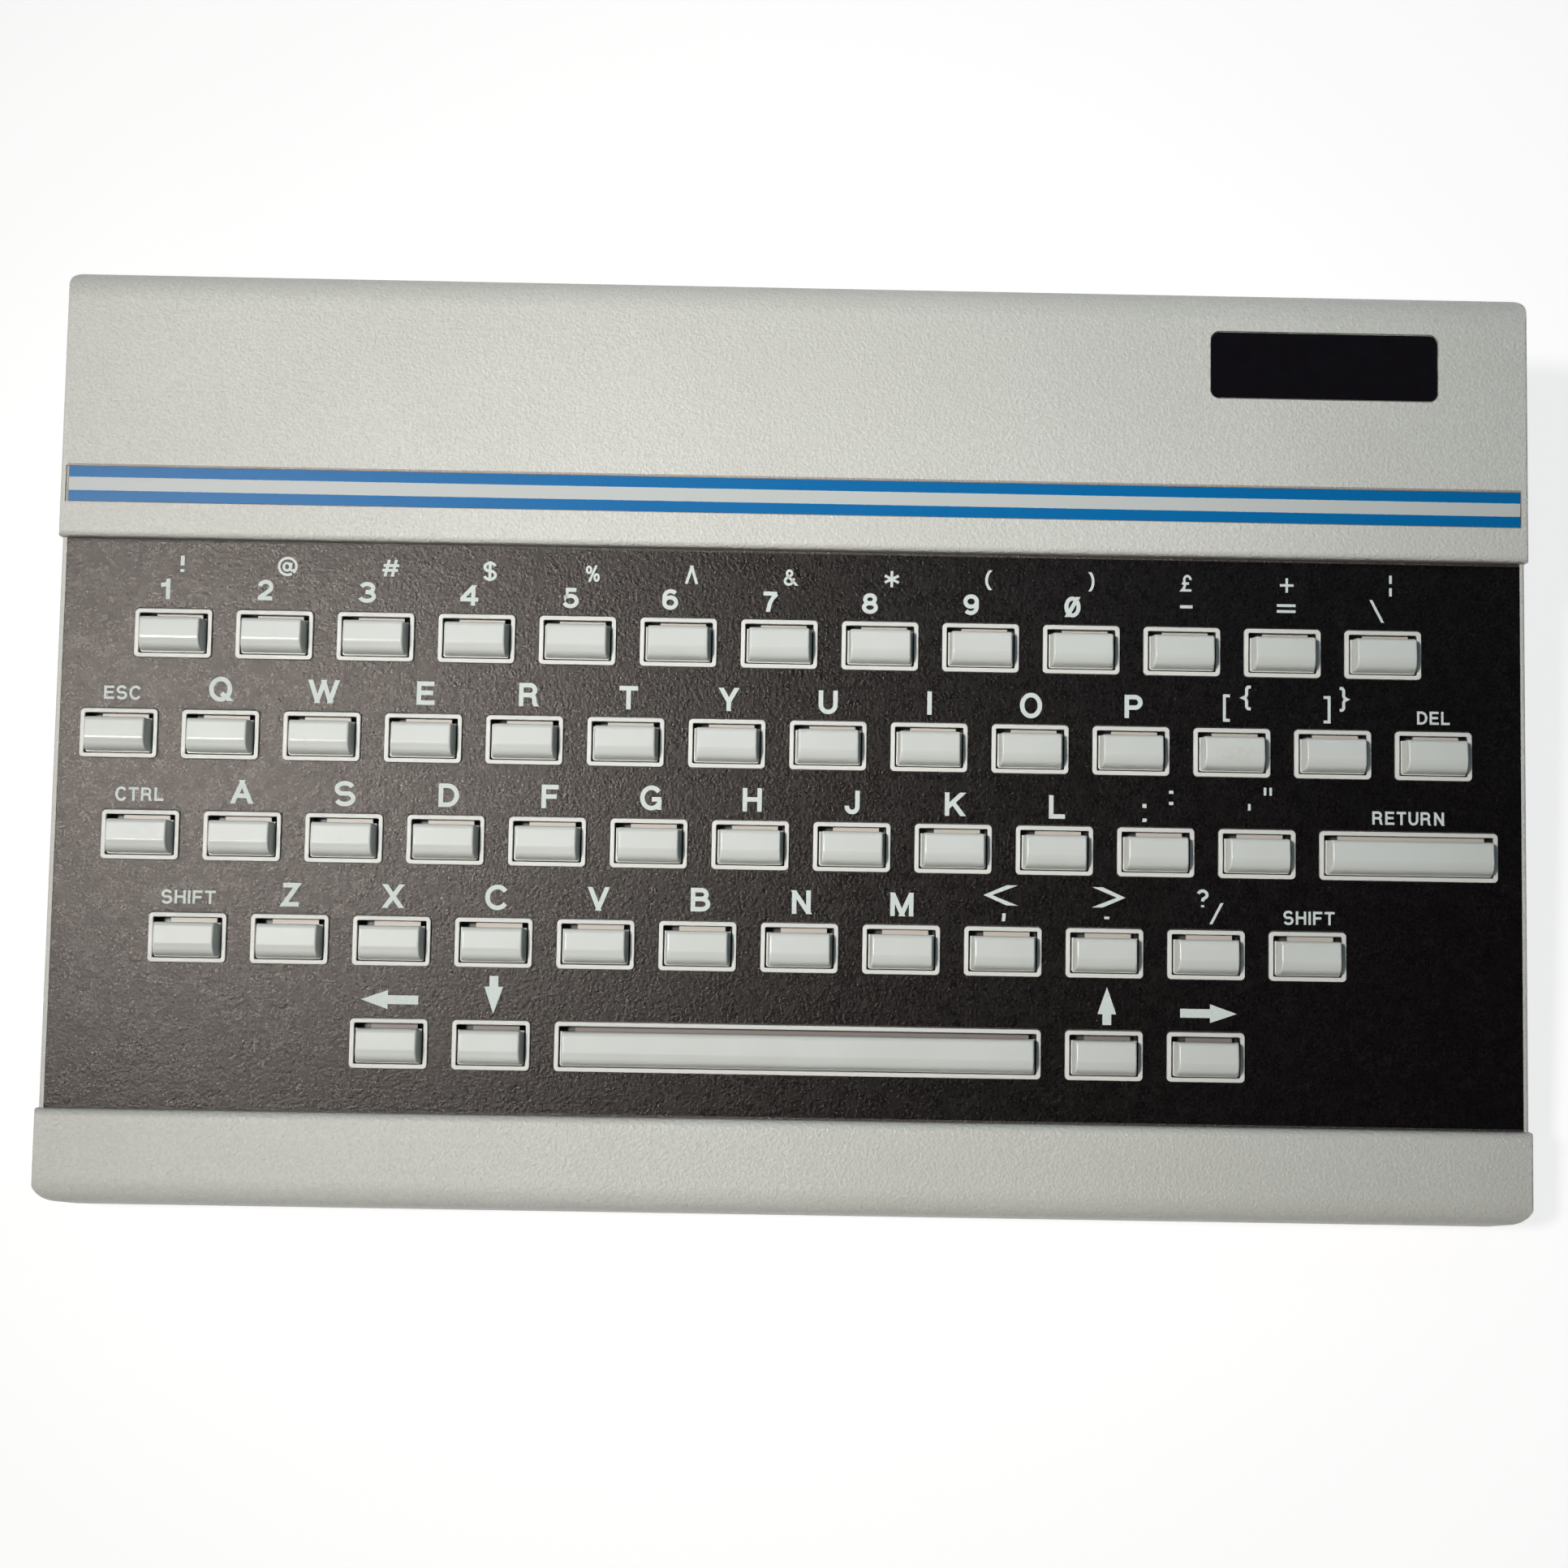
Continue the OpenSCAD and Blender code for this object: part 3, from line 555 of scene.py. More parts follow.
def makeKey(name, extra, stems=(0,)):
    cap = keyCap
    half, wide, height = (cap.length + extra) / 2, cap.width / 2, cap.height
    front, rear, foot = cap.domeFront, cap.domeRear, cap.flangeTop - cap.overlap
    plate = addBlock((-half, -wide - cap.forward, foot), (half, rear - 0.03, cap.plateTop))
    bevelEdges(plate, cap.plateCorner, 4, lambda e: upright(e) and e.verts[0].co.y < 0)
    bevelEdges(plate, cap.plateEdge, 2, lambda e: level(e, cap.plateTop) and len(e.link_faces) == 2
        and sum(f.normal.z > 0.9 for f in e.link_faces) == 1)
    # a lower ledge closes most of the gap behind the dome; its ends stay open
    ledge = addBlock((-half + cap.dashLeft, 2, foot),
        (half - cap.dashRight, cap.ledgeRear, cap.ledgeTop))
    bevelEdges(ledge, cap.ledgeEdge, 2, lambda e: level(e, cap.ledgeTop))

    domeHalf, domeFoot = half - cap.inset, cap.plateTop - cap.overlap
    dome = addBlock((-domeHalf, front, domeFoot), (domeHalf, rear, height))
    shrinkTop(dome, (domeHalf - cap.draft) / domeHalf, 1)
    openEdit(dome, "EDGE", lambda e: level(e, height) and all(v.co.y > 1 for v in e.verts))
    bpy.ops.transform.translate(value=(0, 0, -cap.rearDrop))
    closeEdit()
    bevelEdges(dome, cap.frontRound, 12, lambda e: level(e, height)
        and abs(e.verts[0].co.y - e.verts[1].co.y) < 1e-3)
    bevelEdges(dome, cap.rearRound, 6, lambda e: level(e, height - cap.rearDrop)
        and all(v.co.y > rear - 0.01 for v in e.verts))
    bevelEdges(dome, cap.endRound, 4, lambda e: not level(e, domeFoot)
        and sum(abs(f.normal.x) > 0.8 for f in e.link_faces) == 1)
    # the two corners at the right are rounded seen from above
    outline = addBlock((-domeHalf - 1, front - 0.01, -1),
        (domeHalf + 0.01, rear + 0.01, height + 1))
    bevelEdges(outline, cap.cornerRear, 6, lambda e: upright(e) and e.verts[0].co.x > 0
        and e.verts[0].co.y > 0)
    bevelEdges(outline, cap.cornerFront, 5, lambda e: upright(e)
        and e.verts[0].co.x > domeHalf - 0.2 and e.verts[0].co.y < front + 0.1)
    cutAway(dome, outline, operation="INTERSECT")

    flangeLow, out = cap.flangeTop - cap.flange, cap.flangeOut
    flange = addBlock((-half - out, -wide - out, flangeLow), (half + out, wide, cap.flangeTop))
    openEdit(flange, "FACE", lambda f: f.normal.y > 0.9)
    bpy.ops.mesh.extrude_region_move(TRANSFORM_OT_translate={"value": (0, out, 0)})
    bpy.ops.transform.resize(value=((half - cap.tailIn) / (half + out), 1, 1))
    closeEdit()
    parts = [dome, plate, ledge, flange]
    for x in stems:
        stem = addDrum(cap.stemRadius, cap.stemTip, flangeLow, (x, 0), 24)
        bevelEdges(stem, cap.stemEdge, 2, lambda e: level(e, cap.stemTip))
        parts.append(stem)
    key = joinPieces(name, *parts)
    smoothPiece(key)
    return key


# each body's keys with their columns and rows
keyRows = [("1234567890", 0, 1), ("qwertyuiop", 0.5, 2), ("asdfghjkl", 0.75, 3),
    ("zxcvbnm", 1.25, 4)]
keyList = []
for letters, start, row in keyRows:
    keyList += [(c, "key_" + c, start + i, row) for i, c in enumerate(letters)]
sharedKeys = {
    "control_keys": "esc -0.5 2, del 12.5 2, ctrl -0.25 3, shiftLeft 0.25 4, shiftRight 11.25 4",
    "symbol_keys": "minus 10 1, equals 11 1, backslash 12 1, bracketLeft 10.5 2, "
                   "bracketRight 11.5 2, semicolon 9.75 3, quote 10.75 3, comma 8.25 4, "
                   "stop 9.25 4, slash 10.25 4",
    "cursor_keys": "left 2.25 5, down 3.25 5, up 9.25 5, right 10.25 5",
}
for body, text in sharedKeys.items():
    for name, column, row in (entry.split() for entry in text.split(", ")):
        keyList.append((name, body, float(column), int(row)))
# keys with a place, an extra length and places of stems, in pitches
longKeys = [("return", 12.25, 3, 1, (0,)), ("space", 6.25, 5, 4, (-1.75, 0, 1.75))]


def placeKey(key, body, column, row):
    key.data.transform(Matrix.Translation((*keyPlace(column, row), 0)))
    settle(key, onDeck, "keyPlastic", body, body)


modelKey = makeKey("modelKey", 0)
for name, body, column, row in keyList:
    placeKey(copyPiece(modelKey, "keyCap_" + name), body, column, row)
bpy.data.objects.remove(modelKey)
pitch = deck.pitch
for name, column, row, extra, stems in longKeys:
    key = makeKey("keyCap_" + name, extra * pitch, [x * pitch for x in stems])
    placeKey(key, "key_" + name, column, row)
print("keys made:", len(keyList) + len(longKeys))


# the case is the moulding itself with softened rims on its collars
caseSoft = Sizes(rim=0.5, rimRound=0.14, deckFoot=-52, deckTop=56, collar=(8, 6))


def makeUpperCase():
    shell = copyPiece(nodes["upper_case"], "upperCase")
    shell.data.transform(onDeck.inverted())
    selectOnly(shell)
    bpy.ops.mesh.customdata_custom_splitnormals_clear()
    bpy.ops.object.mode_set(mode="EDIT")
    bpy.ops.mesh.select_all(action="SELECT")
    bpy.ops.mesh.remove_doubles(threshold=0.002)
    bpy.ops.mesh.dissolve_limited(angle_limit=radians(0.5))

    def onRim(part):
        return all(abs(v.co.z - caseSoft.rim) < 0.01 for v in part.verts)

    # each collar's top is laid again as an even ring, then its two edges are rounded
    openEdit(shell, "FACE", lambda f: f.normal.z > 0.99 and onRim(f)
        and caseSoft.deckFoot < f.verts[0].co.y < caseSoft.deckTop)
    bpy.ops.mesh.delete(type="FACE")
    halfLong, halfWide = caseSoft.collar
    places = [(column, row, 0) for _, _, column, row in keyList]
    places += [(column, row, extra) for _, column, row, extra, _ in longKeys]
    for column, row, extra in places:
        x, y = keyPlace(column, row)
        long = halfLong + extra * pitch / 2
        openEdit(shell, "EDGE", lambda e: e.is_boundary and onRim(e)
            and all(abs(v.co.x - x) < long and abs(v.co.y - y) < halfWide for v in e.verts))
        bpy.ops.mesh.bridge_edge_loops()
    bevelEdges(shell, caseSoft.rimRound, 3, lambda e: onRim(e)
        and sum(abs(f.normal.z) > 0.99 for f in e.link_faces) == 1)
    smoothPiece(shell, 30)
    settle(shell, onDeck, "shellPlastic", "case", "upper_case")


makeUpperCase()
print("upper case softened")


# legends: a mark's strokes, parted by /, are middle lines from its foot (0) to its top (1)
marks = {
    "A": "0,0 .46,1/.92,0 .46,1/.16,.29 .76,.29",
    "B": "0,0 0,1/0,1 .43,1 .43,.77,.27,.23,90,-90 0,.54/"
        ".3,.54 .46,.54 .46,.27,.33,.27,90,-90 0,0", "C": ".45,.5,.46,.55,36,324",
    "D": "0,0 0,1/0,1 .34,1 .34,.5,.48,.5,90,-90 0,0",
    "E": "0,0 0,1/0,1 .8,1/0,.52 .74,.52/0,0 .83,0", "F": "0,0 0,1/0,1 .77,1/0,.5 .68,.5",
    "G": ".46,.5,.47,.54,38,325/.86,-.07 .86,.43/.48,.43 .95,.43",
    "H": "0,0 0,1/.77,0 .77,1/0,.52 .77,.52", "I": "0,0 0,1",
    "J": ".57,1 .57,.27 .285,.27,.285,.28,0,-190", "K": "0,0 0,1/.02,.33 .72,1/.3,.6 .76,0",
    "L": "0,0 0,1/0,0 .76,0", "M": "0,0 0,1/.96,0 .96,1/.04,1 .48,0/.92,1 .48,0",
    "N": "0,0 0,1/.77,0 .77,1/.03,1 .74,0", "O": ".47,.5,.47,.56,0,360",
    "P": "0,0 0,1/0,1 .43,1 .43,.72,.29,.28,90,-90 0,.44",
    "Q": ".47,.5,.47,.54,0,360/.52,.28 .86,-.01",
    "R": "0,0 0,1/0,1 .47,1 .47,.74,.27,.26,90,-90 0,.48/"
        ".36,.48 .5,.47 .5,.25,.22,.21,80,0 .73,.08 .77,0",
    "S": ".39,.76,.36,.29,22,238 .4,.25,.38,.3,60,-158", "T": "-.02,1 .95,1/.465,0 .465,1",
    "U": "0,1 0,.36 .385,.36,.385,.38,180,360 .77,1", "V": "0,1 .44,0/.88,1 .44,0",
    "W": "0,1 .33,0/.66,1 .33,0/.66,1 .99,0/1.32,1 .99,0", "X": "0,0 .86,1/0,1 .86,0",
    "Y": "0,1 .44,.38/.88,1 .44,.38/.44,.44 .44,0", "Z": "-.02,1 .76,1/.72,1 .04,0/-.04,0 .81,0",
    "1": ".02,.74 .16,.76 .16,1,.2,.24,-80,-8/.36,0 .36,1",
    "2": ".29,.7,.29,.31,172,-30 .4,.38 .12,.16 .02,.02/-.09,0 .64,0",
    "3": ".28,.75,.27,.26,160,-75 .22,.52/.22,.53 .28,.25,.31,.27,75,-162",
    "4": ".45,0 .45,1/.42,1 -.02,.3/-.09,.25 .66,.25",
    "5": ".56,1 .12,1 .05,.5 .28,.31,.31,.32,138,-158",
    "6": ".3,.31,.29,.32,0,360/.32,.62,.31,.4,42,180 .01,.34",
    "7": "-.04,1 .6,1/.58,.98 .4,.72 .27,.42 .2,0",
    "8": ".3,.76,.25,.25,0,360/.3,.26,.3,.27,0,360",
    "9": ".3,.69,.29,.32,0,360/.28,.38,.31,.4,222,360 .59,.66",
    "0": ".3,.5,.3,.52,0,360/.02,-.12 .58,1.12", "!": "0,.36 0,1/0,0 0,.06",
    "@": ".5,.5,.5,.5,-48,300/.46,.48,.19,.22,0,360/.7,.72 .66,.34 .79,.38,.13,.12,200,330",
    "#": ".16,0 .32,1/.52,0 .68,1/0,.34 .78,.34/.06,.68 .84,.68",
    "$": ".3,.74,.28,.24,15,238 .3,.27,.29,.25,60,-165/.3,-.1 .3,1.1",
    "%": ".17,.76,.17,.22,0,360/.8,.24,.17,.22,0,360/.24,0 .73,1", "^": "0,0 .3,1/.6,0 .3,1",
    "&": ".8,0 .2,.64 .34,.8,.18,.2,215,-35 .14,.46 .3,.24,.28,.25,140,350 .68,.44",
    "*": ".4,0 .4,1/-.03,.25 .83,.75/-.03,.75 .83,.25", "(": ".62,.5,.62,.72,132,228",
    ")": "-.62,.5,.62,.72,48,-48",
    "£": ".55,.74 .36,.74,.2,.26,10,180 .2,.35 .14,.14 .02,0/0,0 .62,0/.02,.48 .46,.48",
    "-": "0,.5 .9,.5", "=": "0,.2 1,.2/0,.8 1,.8", "+": "0,.5 1,.5/.5,-.06 .5,1.06",
    "\\": "0,1 .52,0", "/": "0,0 .52,1", "|": "0,.62 0,1/0,0 0,.38", "[": ".3,1 0,1 0,0 .3,0",
    "]": "0,1 .3,1 .3,0 0,0",
    "{": ".34,1 .22,.98 .17,.9 .17,.64 .12,.54 0,.5 .12,.46 .17,.36 .17,.1 .22,.02 .34,0",
    "}": "0,1 .12,.98 .17,.9 .17,.64 .22,.54 .34,.5 .22,.46 .17,.36 .17,.1 .12,.02 0,0",
    ":": "0,.9 0,1/0,0 0,.1", ";": "0,.86 0,1/.02,.1 .02,-.08 -.06,-.26",
    "'": ".04,1 .04,.55 0,.2", '"': "0,0 0,1/.8,0 .8,1", "<": "1,1 0,.5 1,0", ">": "0,1 1,.5 0,0",
    ",": ".05,.9 .05,.4 0,0", ".": "0,0 0,.12",
    "?": ".28,.76,.26,.26,165,-50 .3,.45 .28,.3/.28,0 .28,.05",
}


def strokeSides(line, width):
    # the two edges of a stroke, mitred at its corners and cut level at the foot and the top line
    line = [p for i, p in enumerate(line) if i == 0 or dist(p, line[i - 1]) > 0.004]
    closed = dist(line[0], line[-1]) < 0.004
    spots = line[:-1] if closed else line
    left, right = [], []
    for i, spot in enumerate(spots):
        before = spots[i - 1] if i or closed else None
        after = spots[(i + 1) % len(spots)] if closed or i + 1 < len(spots) else None
        steps = [(a, b) for a, b in ((before, spot), (spot, after)) if a and b]
        ways = [Vector((b[0] - a[0], b[1] - a[1])).normalized() for a, b in steps]
        way = sum(ways, Vector((0, 0))).normalized()
        side = Vector((-way.y, way.x))
        reach = width / 2 / max(0.5, abs(side.dot(Vector((-ways[0].y, ways[0].x)))))
        foot, top = spot[1] < 0.001, spot[1] > 0.999
        for edge, sign in ((left, 1), (right, -1)):
            corner = Vector(spot) + side * reach * sign
            if len(ways) == 1 and abs(way.y) > 0.35 and (foot or top):
                goal = -width / 2 if foot else 1 + width / 2
                corner += way * ((goal - corner.y) / way.y)
            edge.append(corner)
    return left, right, closed


sheet = {"corners": [], "faces": [], "layer": 0, "lowest": 0.012, "step": 0.0015, "layers": 6,
    "thickness": 0.02}
arrow = Sizes(head=5, headWide=3.5, shaft=1.65, tip=0.02)


def addStroke(left, right, closed, place):
    # strokes that cross lie on different layers
    first, count = len(sheet["corners"]), len(left)
    height = sheet["lowest"] + sheet["step"] * (sheet["layer"] % sheet["layers"])
    sheet["layer"] += 1
    for a, b in zip(left, right):
        sheet["corners"] += [(*place(a), height), (*place(b), height)]
    for i in range(count if closed else count - 1):
        a, b = first + 2 * i, first + 2 * ((i + 1) % count)
        sheet["faces"].append((a, a + 1, b + 1, b))


def writeMarks(text, column, row, toRight, up, capHeight, stroke, wide=1, gap=0.16):
    # the middle of the text's box lies right and up from the key's middle
    x, y = keyPlace(column, row)
    size = capHeight - stroke
    drawn, along = [], 0
    for letter in text:
        strokes = [points(words) for words in marks[letter].split("/")]
        sides = [strokeSides([(px * wide, py) for px, py in s], stroke / size) for s in strokes]
        everyX = [c.x for left, right, _ in sides for c in left + right]
        drawn += [(*side, along - min(everyX)) for side in sides]
        along += max(everyX) - min(everyX) + gap * capHeight / size
    everyX = [c.x + shift for left, right, _, shift in drawn for c in left + right]
    everyY = [c.y for left, right, _, _ in drawn for c in left + right]
    middle = (min(everyX) + max(everyX)) / 2, (min(everyY) + max(everyY)) / 2
    for left, right, closed, shift in drawn:
        addStroke(left, right, closed, lambda c: (x + toRight + (c.x + shift - middle[0]) * size,
            y + up + (c.y - middle[1]) * size))


def drawArrow(column, turn, length, toRight, up):
    # a shaft and a head pointing along turn, its box right and up from a key of the last row
    x, y = keyPlace(column, 5)
    turned = Matrix.Rotation(radians(turn), 4, "Z")
    away = Matrix.Translation((x + toRight, y + up, 0)) @ turned
    neck = length / 2 - arrow.head
    shape = [(-length / 2, arrow.shaft), (neck, arrow.shaft), (neck, arrow.headWide),
        (length / 2, arrow.tip)]
    for pair in (shape[:2], shape[2:]):
        left, right = ([Vector((px, sign * w / 2, 0)) for px, w in pair] for sign in (1, -1))
        addStroke(left, right, False, lambda c: (away @ c).xy)


# each mark with its shift to the right and up from its place, in mm, and its widening
legendSizes = {"letter": (4.42, 0.85, 8.42), "digit": (3.87, 0.77, 8.3)}  # height, stroke, up
wordSize = {"capHeight": 2.5, "stroke": 0.45, "gap": 0.17}
legendRows = [  # first column, row, size, marks
    (0.5, 2, "letter", "Q -.1 .2 1.04, W .05 .1 1.02, E .2 .15 1, R .6 .22 .97, T .33 0 1.02, "
                       "Y .2 0 .8, U -.1 -.2 1, I 0 0 1, O .13 -.12 1, P .48 .05 1"),
    (0.75, 3, "letter", "A -.38 -.05 .94, S -.1 -.05 1.16, D .33 0 1.02, F .28 .1 1, "
                        "G .18 .17 1.03, H .2 .15 1, J -.05 0 .97, K .38 0 1, L .43 -.18 .96"),
    (1.25, 4, "letter", "Z -.13 -.13 1.02, X 0 -.05 .84, C .22 .05 1.13, V .33 .1 .92, "
                        "B .38 .28 1, N .23 .15 .97, M .05 .05 1.02"),
    (0, 1, "digit", "1 -1.9 .15 1.28, 2 -2.05 .28 1.2, 3 -1.87 .18 1.38, 4 -1.65 -.05 1.46, "
                    "5 -1.5 -.18 1.27, 6 -1.73 -.1 1.25, 7 -1.75 -.18 1.3, 8 -2 -.18 1.2, "
                    "9 -1.88 -.05 1.2, 0 -1.7 -.13 1.24"),
]
shiftedUp = 13
shiftedRow = [  # mark, right, up, height, stroke, widening
    ("!", 1.15, 0.3, 3.1, 0.72, 1), ("@", 1.97, 0.15, 3.7, 0.48, 1.02),
    ("#", 2.4, 0.2, 3.2, 0.54, 1.42), ("$", 2.15, -0.05, 3.8, 0.55, 1.1),
    ("%", 2.55, -0.15, 3.2, 0.42, 0.84), ("^", 2.23, 0, 3.5, 0.54, 1.02),
    ("&", 2.05, -0.2, 3.1, 0.48, 1), ("*", 2.07, -0.15, 3.1, 0.5, 1.18),
    ("(", 1.43, 0, 3.8, 0.52, 1), (")", 1.85, 0.05, 3.7, 0.5, 0.85),
    ("£", 0.68, 0.12, 3.2, 0.46, 1.08), ("+", 0.9, 0.05, 2.75, 0.48, 1.15),
    ("|", 1.57, 0.3, 4, 0.52, 1),
]
otherMarks = [  # mark, column, row, right, up, height, stroke, widening
    ("-", 10, 1, 0.85, 8.6, 2.9, 0.6, 1.15), ("=", 11, 1, 0.78, 8.62, 2.4, 0.52, 1.9),
    ("\\", 12, 1, -1.05, 8.4, 4.3, 0.5, 1),
    ("[", 10.5, 2, -1, 8.5, 5.2, 0.55, 0.75), ("]", 11.5, 2, -0.98, 8.52, 5.2, 0.55, 0.75),
    ("{", 10.5, 2, 2.55, 10.5, 4.8, 0.58, 1.1), ("}", 11.5, 2, 2.42, 10.54, 4.8, 0.56, 1.05),
    (";", 9.75, 3, -2.14, 7.42, 3.4, 0.78, 0.9), (":", 9.75, 3, 2.9, 10.36, 2.7, 0.82, 1),
    ("'", 10.75, 3, -1.42, 8.82, 1.75, 0.5, 1), ('"', 10.75, 3, 2.1, 11.85, 1.5, 0.48, 1.3),
    ("<", 8.25, 4, -0.46, 10.52, 3.8, 0.8, 1.22), (">", 9.25, 4, 0.76, 10.45, 3.8, 0.8, 1.18),
    (",", 8.25, 4, 0.12, 6.4, 1.9, 0.62, 1), (".", 9.25, 4, 0.43, 6.62, 1.05, 0.95, 1),
    ("?", 10.25, 4, -0.6, 10.6, 3.3, 0.58, 1.15), ("/", 10.25, 4, 1.97, 7.76, 4, 0.5, 1),
]
words = [  # word, column, row, right, up, widening
    ("ESC", -0.5, 2, 0.28, 7.66, 1), ("DEL", 12.5, 2, 0.1, 7.27, 0.9),
    ("CTRL", -0.25, 3, -0.52, 7.62, 0.96), ("SHIFT", 0.25, 4, -0.12, 7.54, 1.02),
    ("SHIFT", 11.25, 4, 0.33, 7.22, 0.95), ("RETURN", 12.25, 3, 0.08, 7.22, 0.9),
]
arrows = [  # column, turn, length, right, up
    (2.25, 180, 10.7, -0.09, 8.13), (3.25, -90, 7, 0.22, 9.36),
    (9.25, 90, 7, 0.55, 9.2), (10.25, 0, 10.6, 0.52, 8.14),
]
for start, row, kind, text in legendRows:
    high, stroke, above = legendSizes[kind]
    for i, entry in enumerate(text.split(", ")):
        mark, *numbers = entry.split()
        right, up, wide = map(float, numbers)
        writeMarks(mark, start + i, row, right, above + up, high, stroke, wide)
for i, (mark, right, up, high, stroke, wide) in enumerate(shiftedRow):
    writeMarks(mark, i, 1, right, shiftedUp + up, high, stroke, wide)
for entry in otherMarks:
    writeMarks(*entry)
for *entry, wide in words:
    writeMarks(*entry, wide=wide, **wordSize)
for entry in arrows:
    drawArrow(*entry)
legends = meshPiece("keyLegends", sheet["corners"], [], sheet["faces"])
openEdit(legends, "FACE")
bpy.ops.mesh.normals_make_consistent(inside=False)
closeEdit()
useModifier(legends, "SOLIDIFY", thickness=sheet["thickness"], offset=0)
settle(legends, onDeck, "legendInk")
print("legends drawn")


# sockets in the rear wall: each is drawn facing up, then laid back to face the rear
rearWall = Sizes(face=86.4, boardTop=9.6)


def rearPlace(x, z):
    laidBack = Matrix.Rotation(radians(-90), 4, "X")
    return onDesk @ Matrix.Translation((x, rearWall.face, z)) @ laidBack


# a turned profile gives its points as radius,height
roundSocket = Sizes(wide=19, high=18.5, deep=14, middle=18.85, edge=0.35, bore=6.65, cup=6,
    cupEdge=0.22, cupReach=8.25, keyHalf=1.2, keyLow=5.45, keyHigh=7.45, contactRing=4.3,
    contact=0.75, contactDeep=11,
    ring="6.64,-5.95 6.64,-.2 7.03,-.2 7.03,.06 6.95,.12 6.65,.12 6.56,.08 6.52,0 6.52,-5.95",
    slit=((-1.4, 4, -9), (1.4, 9, 1)),
    sleeve="0,-8 .44,-8 .44,-5.98 .52,-5.92 .73,-5.98 .73,-10 0,-10",
    sockets=[("monitorSocket", -68, (0, 45, 90, 135, 180)),
    ("tapeSocket", -44, (-18, 0, 45, 90, 135, 180, 198))])


def makeRoundSocket(name, x, angles):
    look = roundSocket
    wide, high, keyHalf = look.wide / 2, look.high / 2, look.keyHalf
    spots = [(look.contactRing * cos(radians(a)), -look.contactRing * sin(radians(a)))
        for a in angles]
    body = addBlock((-wide, -high, -look.deep), (wide, high, 0), name + "Body")
    bevelEdges(body, look.edge, 3, frontEdge)
    keyway = addBlock((-keyHalf, look.keyLow, -look.cup), (keyHalf, look.keyHigh, 1))
    cutAway(body, addDrum(look.bore, -look.cup, 1, sides=72), keyway,
        *[addDrum(look.contact, -look.contactDeep, 1, spot, 20) for spot in spots])
    bevelEdges(body, look.cupEdge, 2, lambda e: mouthEdge(e, look.cupReach))
    ring = turnOutline(name + "Shell", points(look.ring), steps=72)
    cutAway(ring, addBlock(*look.slit))
    contacts = repeated(name + "Contacts", turnOutline("sleeve", points(look.sleeve), False, 20),
        spots)
    settleParts("din_sockets", rearPlace(x, look.middle), (body, "socketNylon"),
        (ring, "modulatorTin"), (contacts, "contactGold"))


for entry in roundSocket.sockets:
    makeRoundSocket(*entry)

pinHeader = Sizes(pitch=2.54, ends=7.6, high=9, deep=10, edge=0.3, wall=1.2, roof=1.3, cavity=6.6,
    cavityEdge=0.18, notch=2.2, pin=0.32, pinFoot=-9.5, pinTop=-3.5, point=0.5, pinEdge=0.05,
    headers=[("printerHeader", -5, 20), ("expansionHeader", 52, 34)])


def makePinHeader(name, x, count):
    look = pinHeader
    half, high = (count / 2 * look.pitch + look.ends) / 2, look.high / 2
    body = addBlock((-half, -high, -look.deep), (half, high, 0), name + "Shroud")
    bevelEdges(body, look.edge, 2, frontEdge)
    innerHalf, innerHigh = half - look.wall, high - look.roof
    cutAway(body, addBlock((-innerHalf, -innerHigh, -look.cavity), (innerHalf, innerHigh, 1)),
        addBlock((-look.notch, -high - 1, -look.cavity), (look.notch, 0.5, 1)))
    bevelEdges(body, look.cavityEdge, 2, lambda e: level(e, 0)
        and all(abs(v.co.x) < half - 0.5 and abs(v.co.y) < high - 0.5 for v in e.verts))
    pin = addBlock((-look.pin, -look.pin, look.pinFoot), (look.pin, look.pin, look.pinTop))
    shrinkTop(pin, 0.5, 0.5, look.point)
    bevelEdges(pin, look.pinEdge, 1)
    first = (1 - count / 2) / 2
    pins = repeated(name + "Pins", pin,
        [((first + i) * look.pitch, j * look.pitch) for i in range(count // 2)
        for j in (-0.5, 0.5)])
    place = rearPlace(x, rearWall.boardTop + high)
    settleParts("pin_headers", place, (body, "socketNylon"), (pins, "contactGold"))


for entry in pinHeader.headers:
    makePinHeader(*entry)

powerSocket = Sizes(x=108, wide=9.4, high=11, deep=14, middle=15.6, edge=0.3,
    bores=[(3.15, -5.5), (2.85, -11)], boreReach=3.25, slot=((-0.7, -3.85, -10), (0.7, 0, -1.2)),
    pin="0,-11.5 1.05,-11.5 1.05,-5 .95,-4.7 .65,-4.5 0,-4.45",
    spring=((-0.55, -3.65, -9.8), (0.55, -3.4, -1.5)), springEdge=0.06, bend=-4, bendRise=0.62)


def makePowerSocket(look):
    wide, top = look.wide / 2, look.middle - rearWall.boardTop
    body = addBlock((-wide, top - look.high, -look.deep), (wide, top, 0), "powerSocketBody")
    bevelEdges(body, look.edge, 3, frontEdge)
    cutAway(body, *[addDrum(radius, deep, 1) for radius, deep in look.bores], addBlock(*look.slot))
    bevelEdges(body, look.edge, 3, lambda e: mouthEdge(e, look.boreReach))
    pin = turnOutline("powerSocketPin", points(look.pin), False, 24)
    spring = addBlock(*look.spring, "powerSocketSpring")
    openEdit(spring, "FACE")
    bpy.ops.mesh.bisect(plane_co=(0, 0, look.bend), plane_no=(0, 0, 1))
    openEdit(spring, "VERT", lambda v: abs(v.co.z - look.bend) < 0.01)
    bpy.ops.transform.translate(value=(0, look.bendRise, 0))
    closeEdit()
    bevelEdges(spring, look.springEdge, 1)
    settleParts("power_socket", rearPlace(look.x, look.middle), (body, "socketNylon"),
        (pin, "modulatorTin"), (spring, "modulatorTin"))


makePowerSocket(powerSocket)

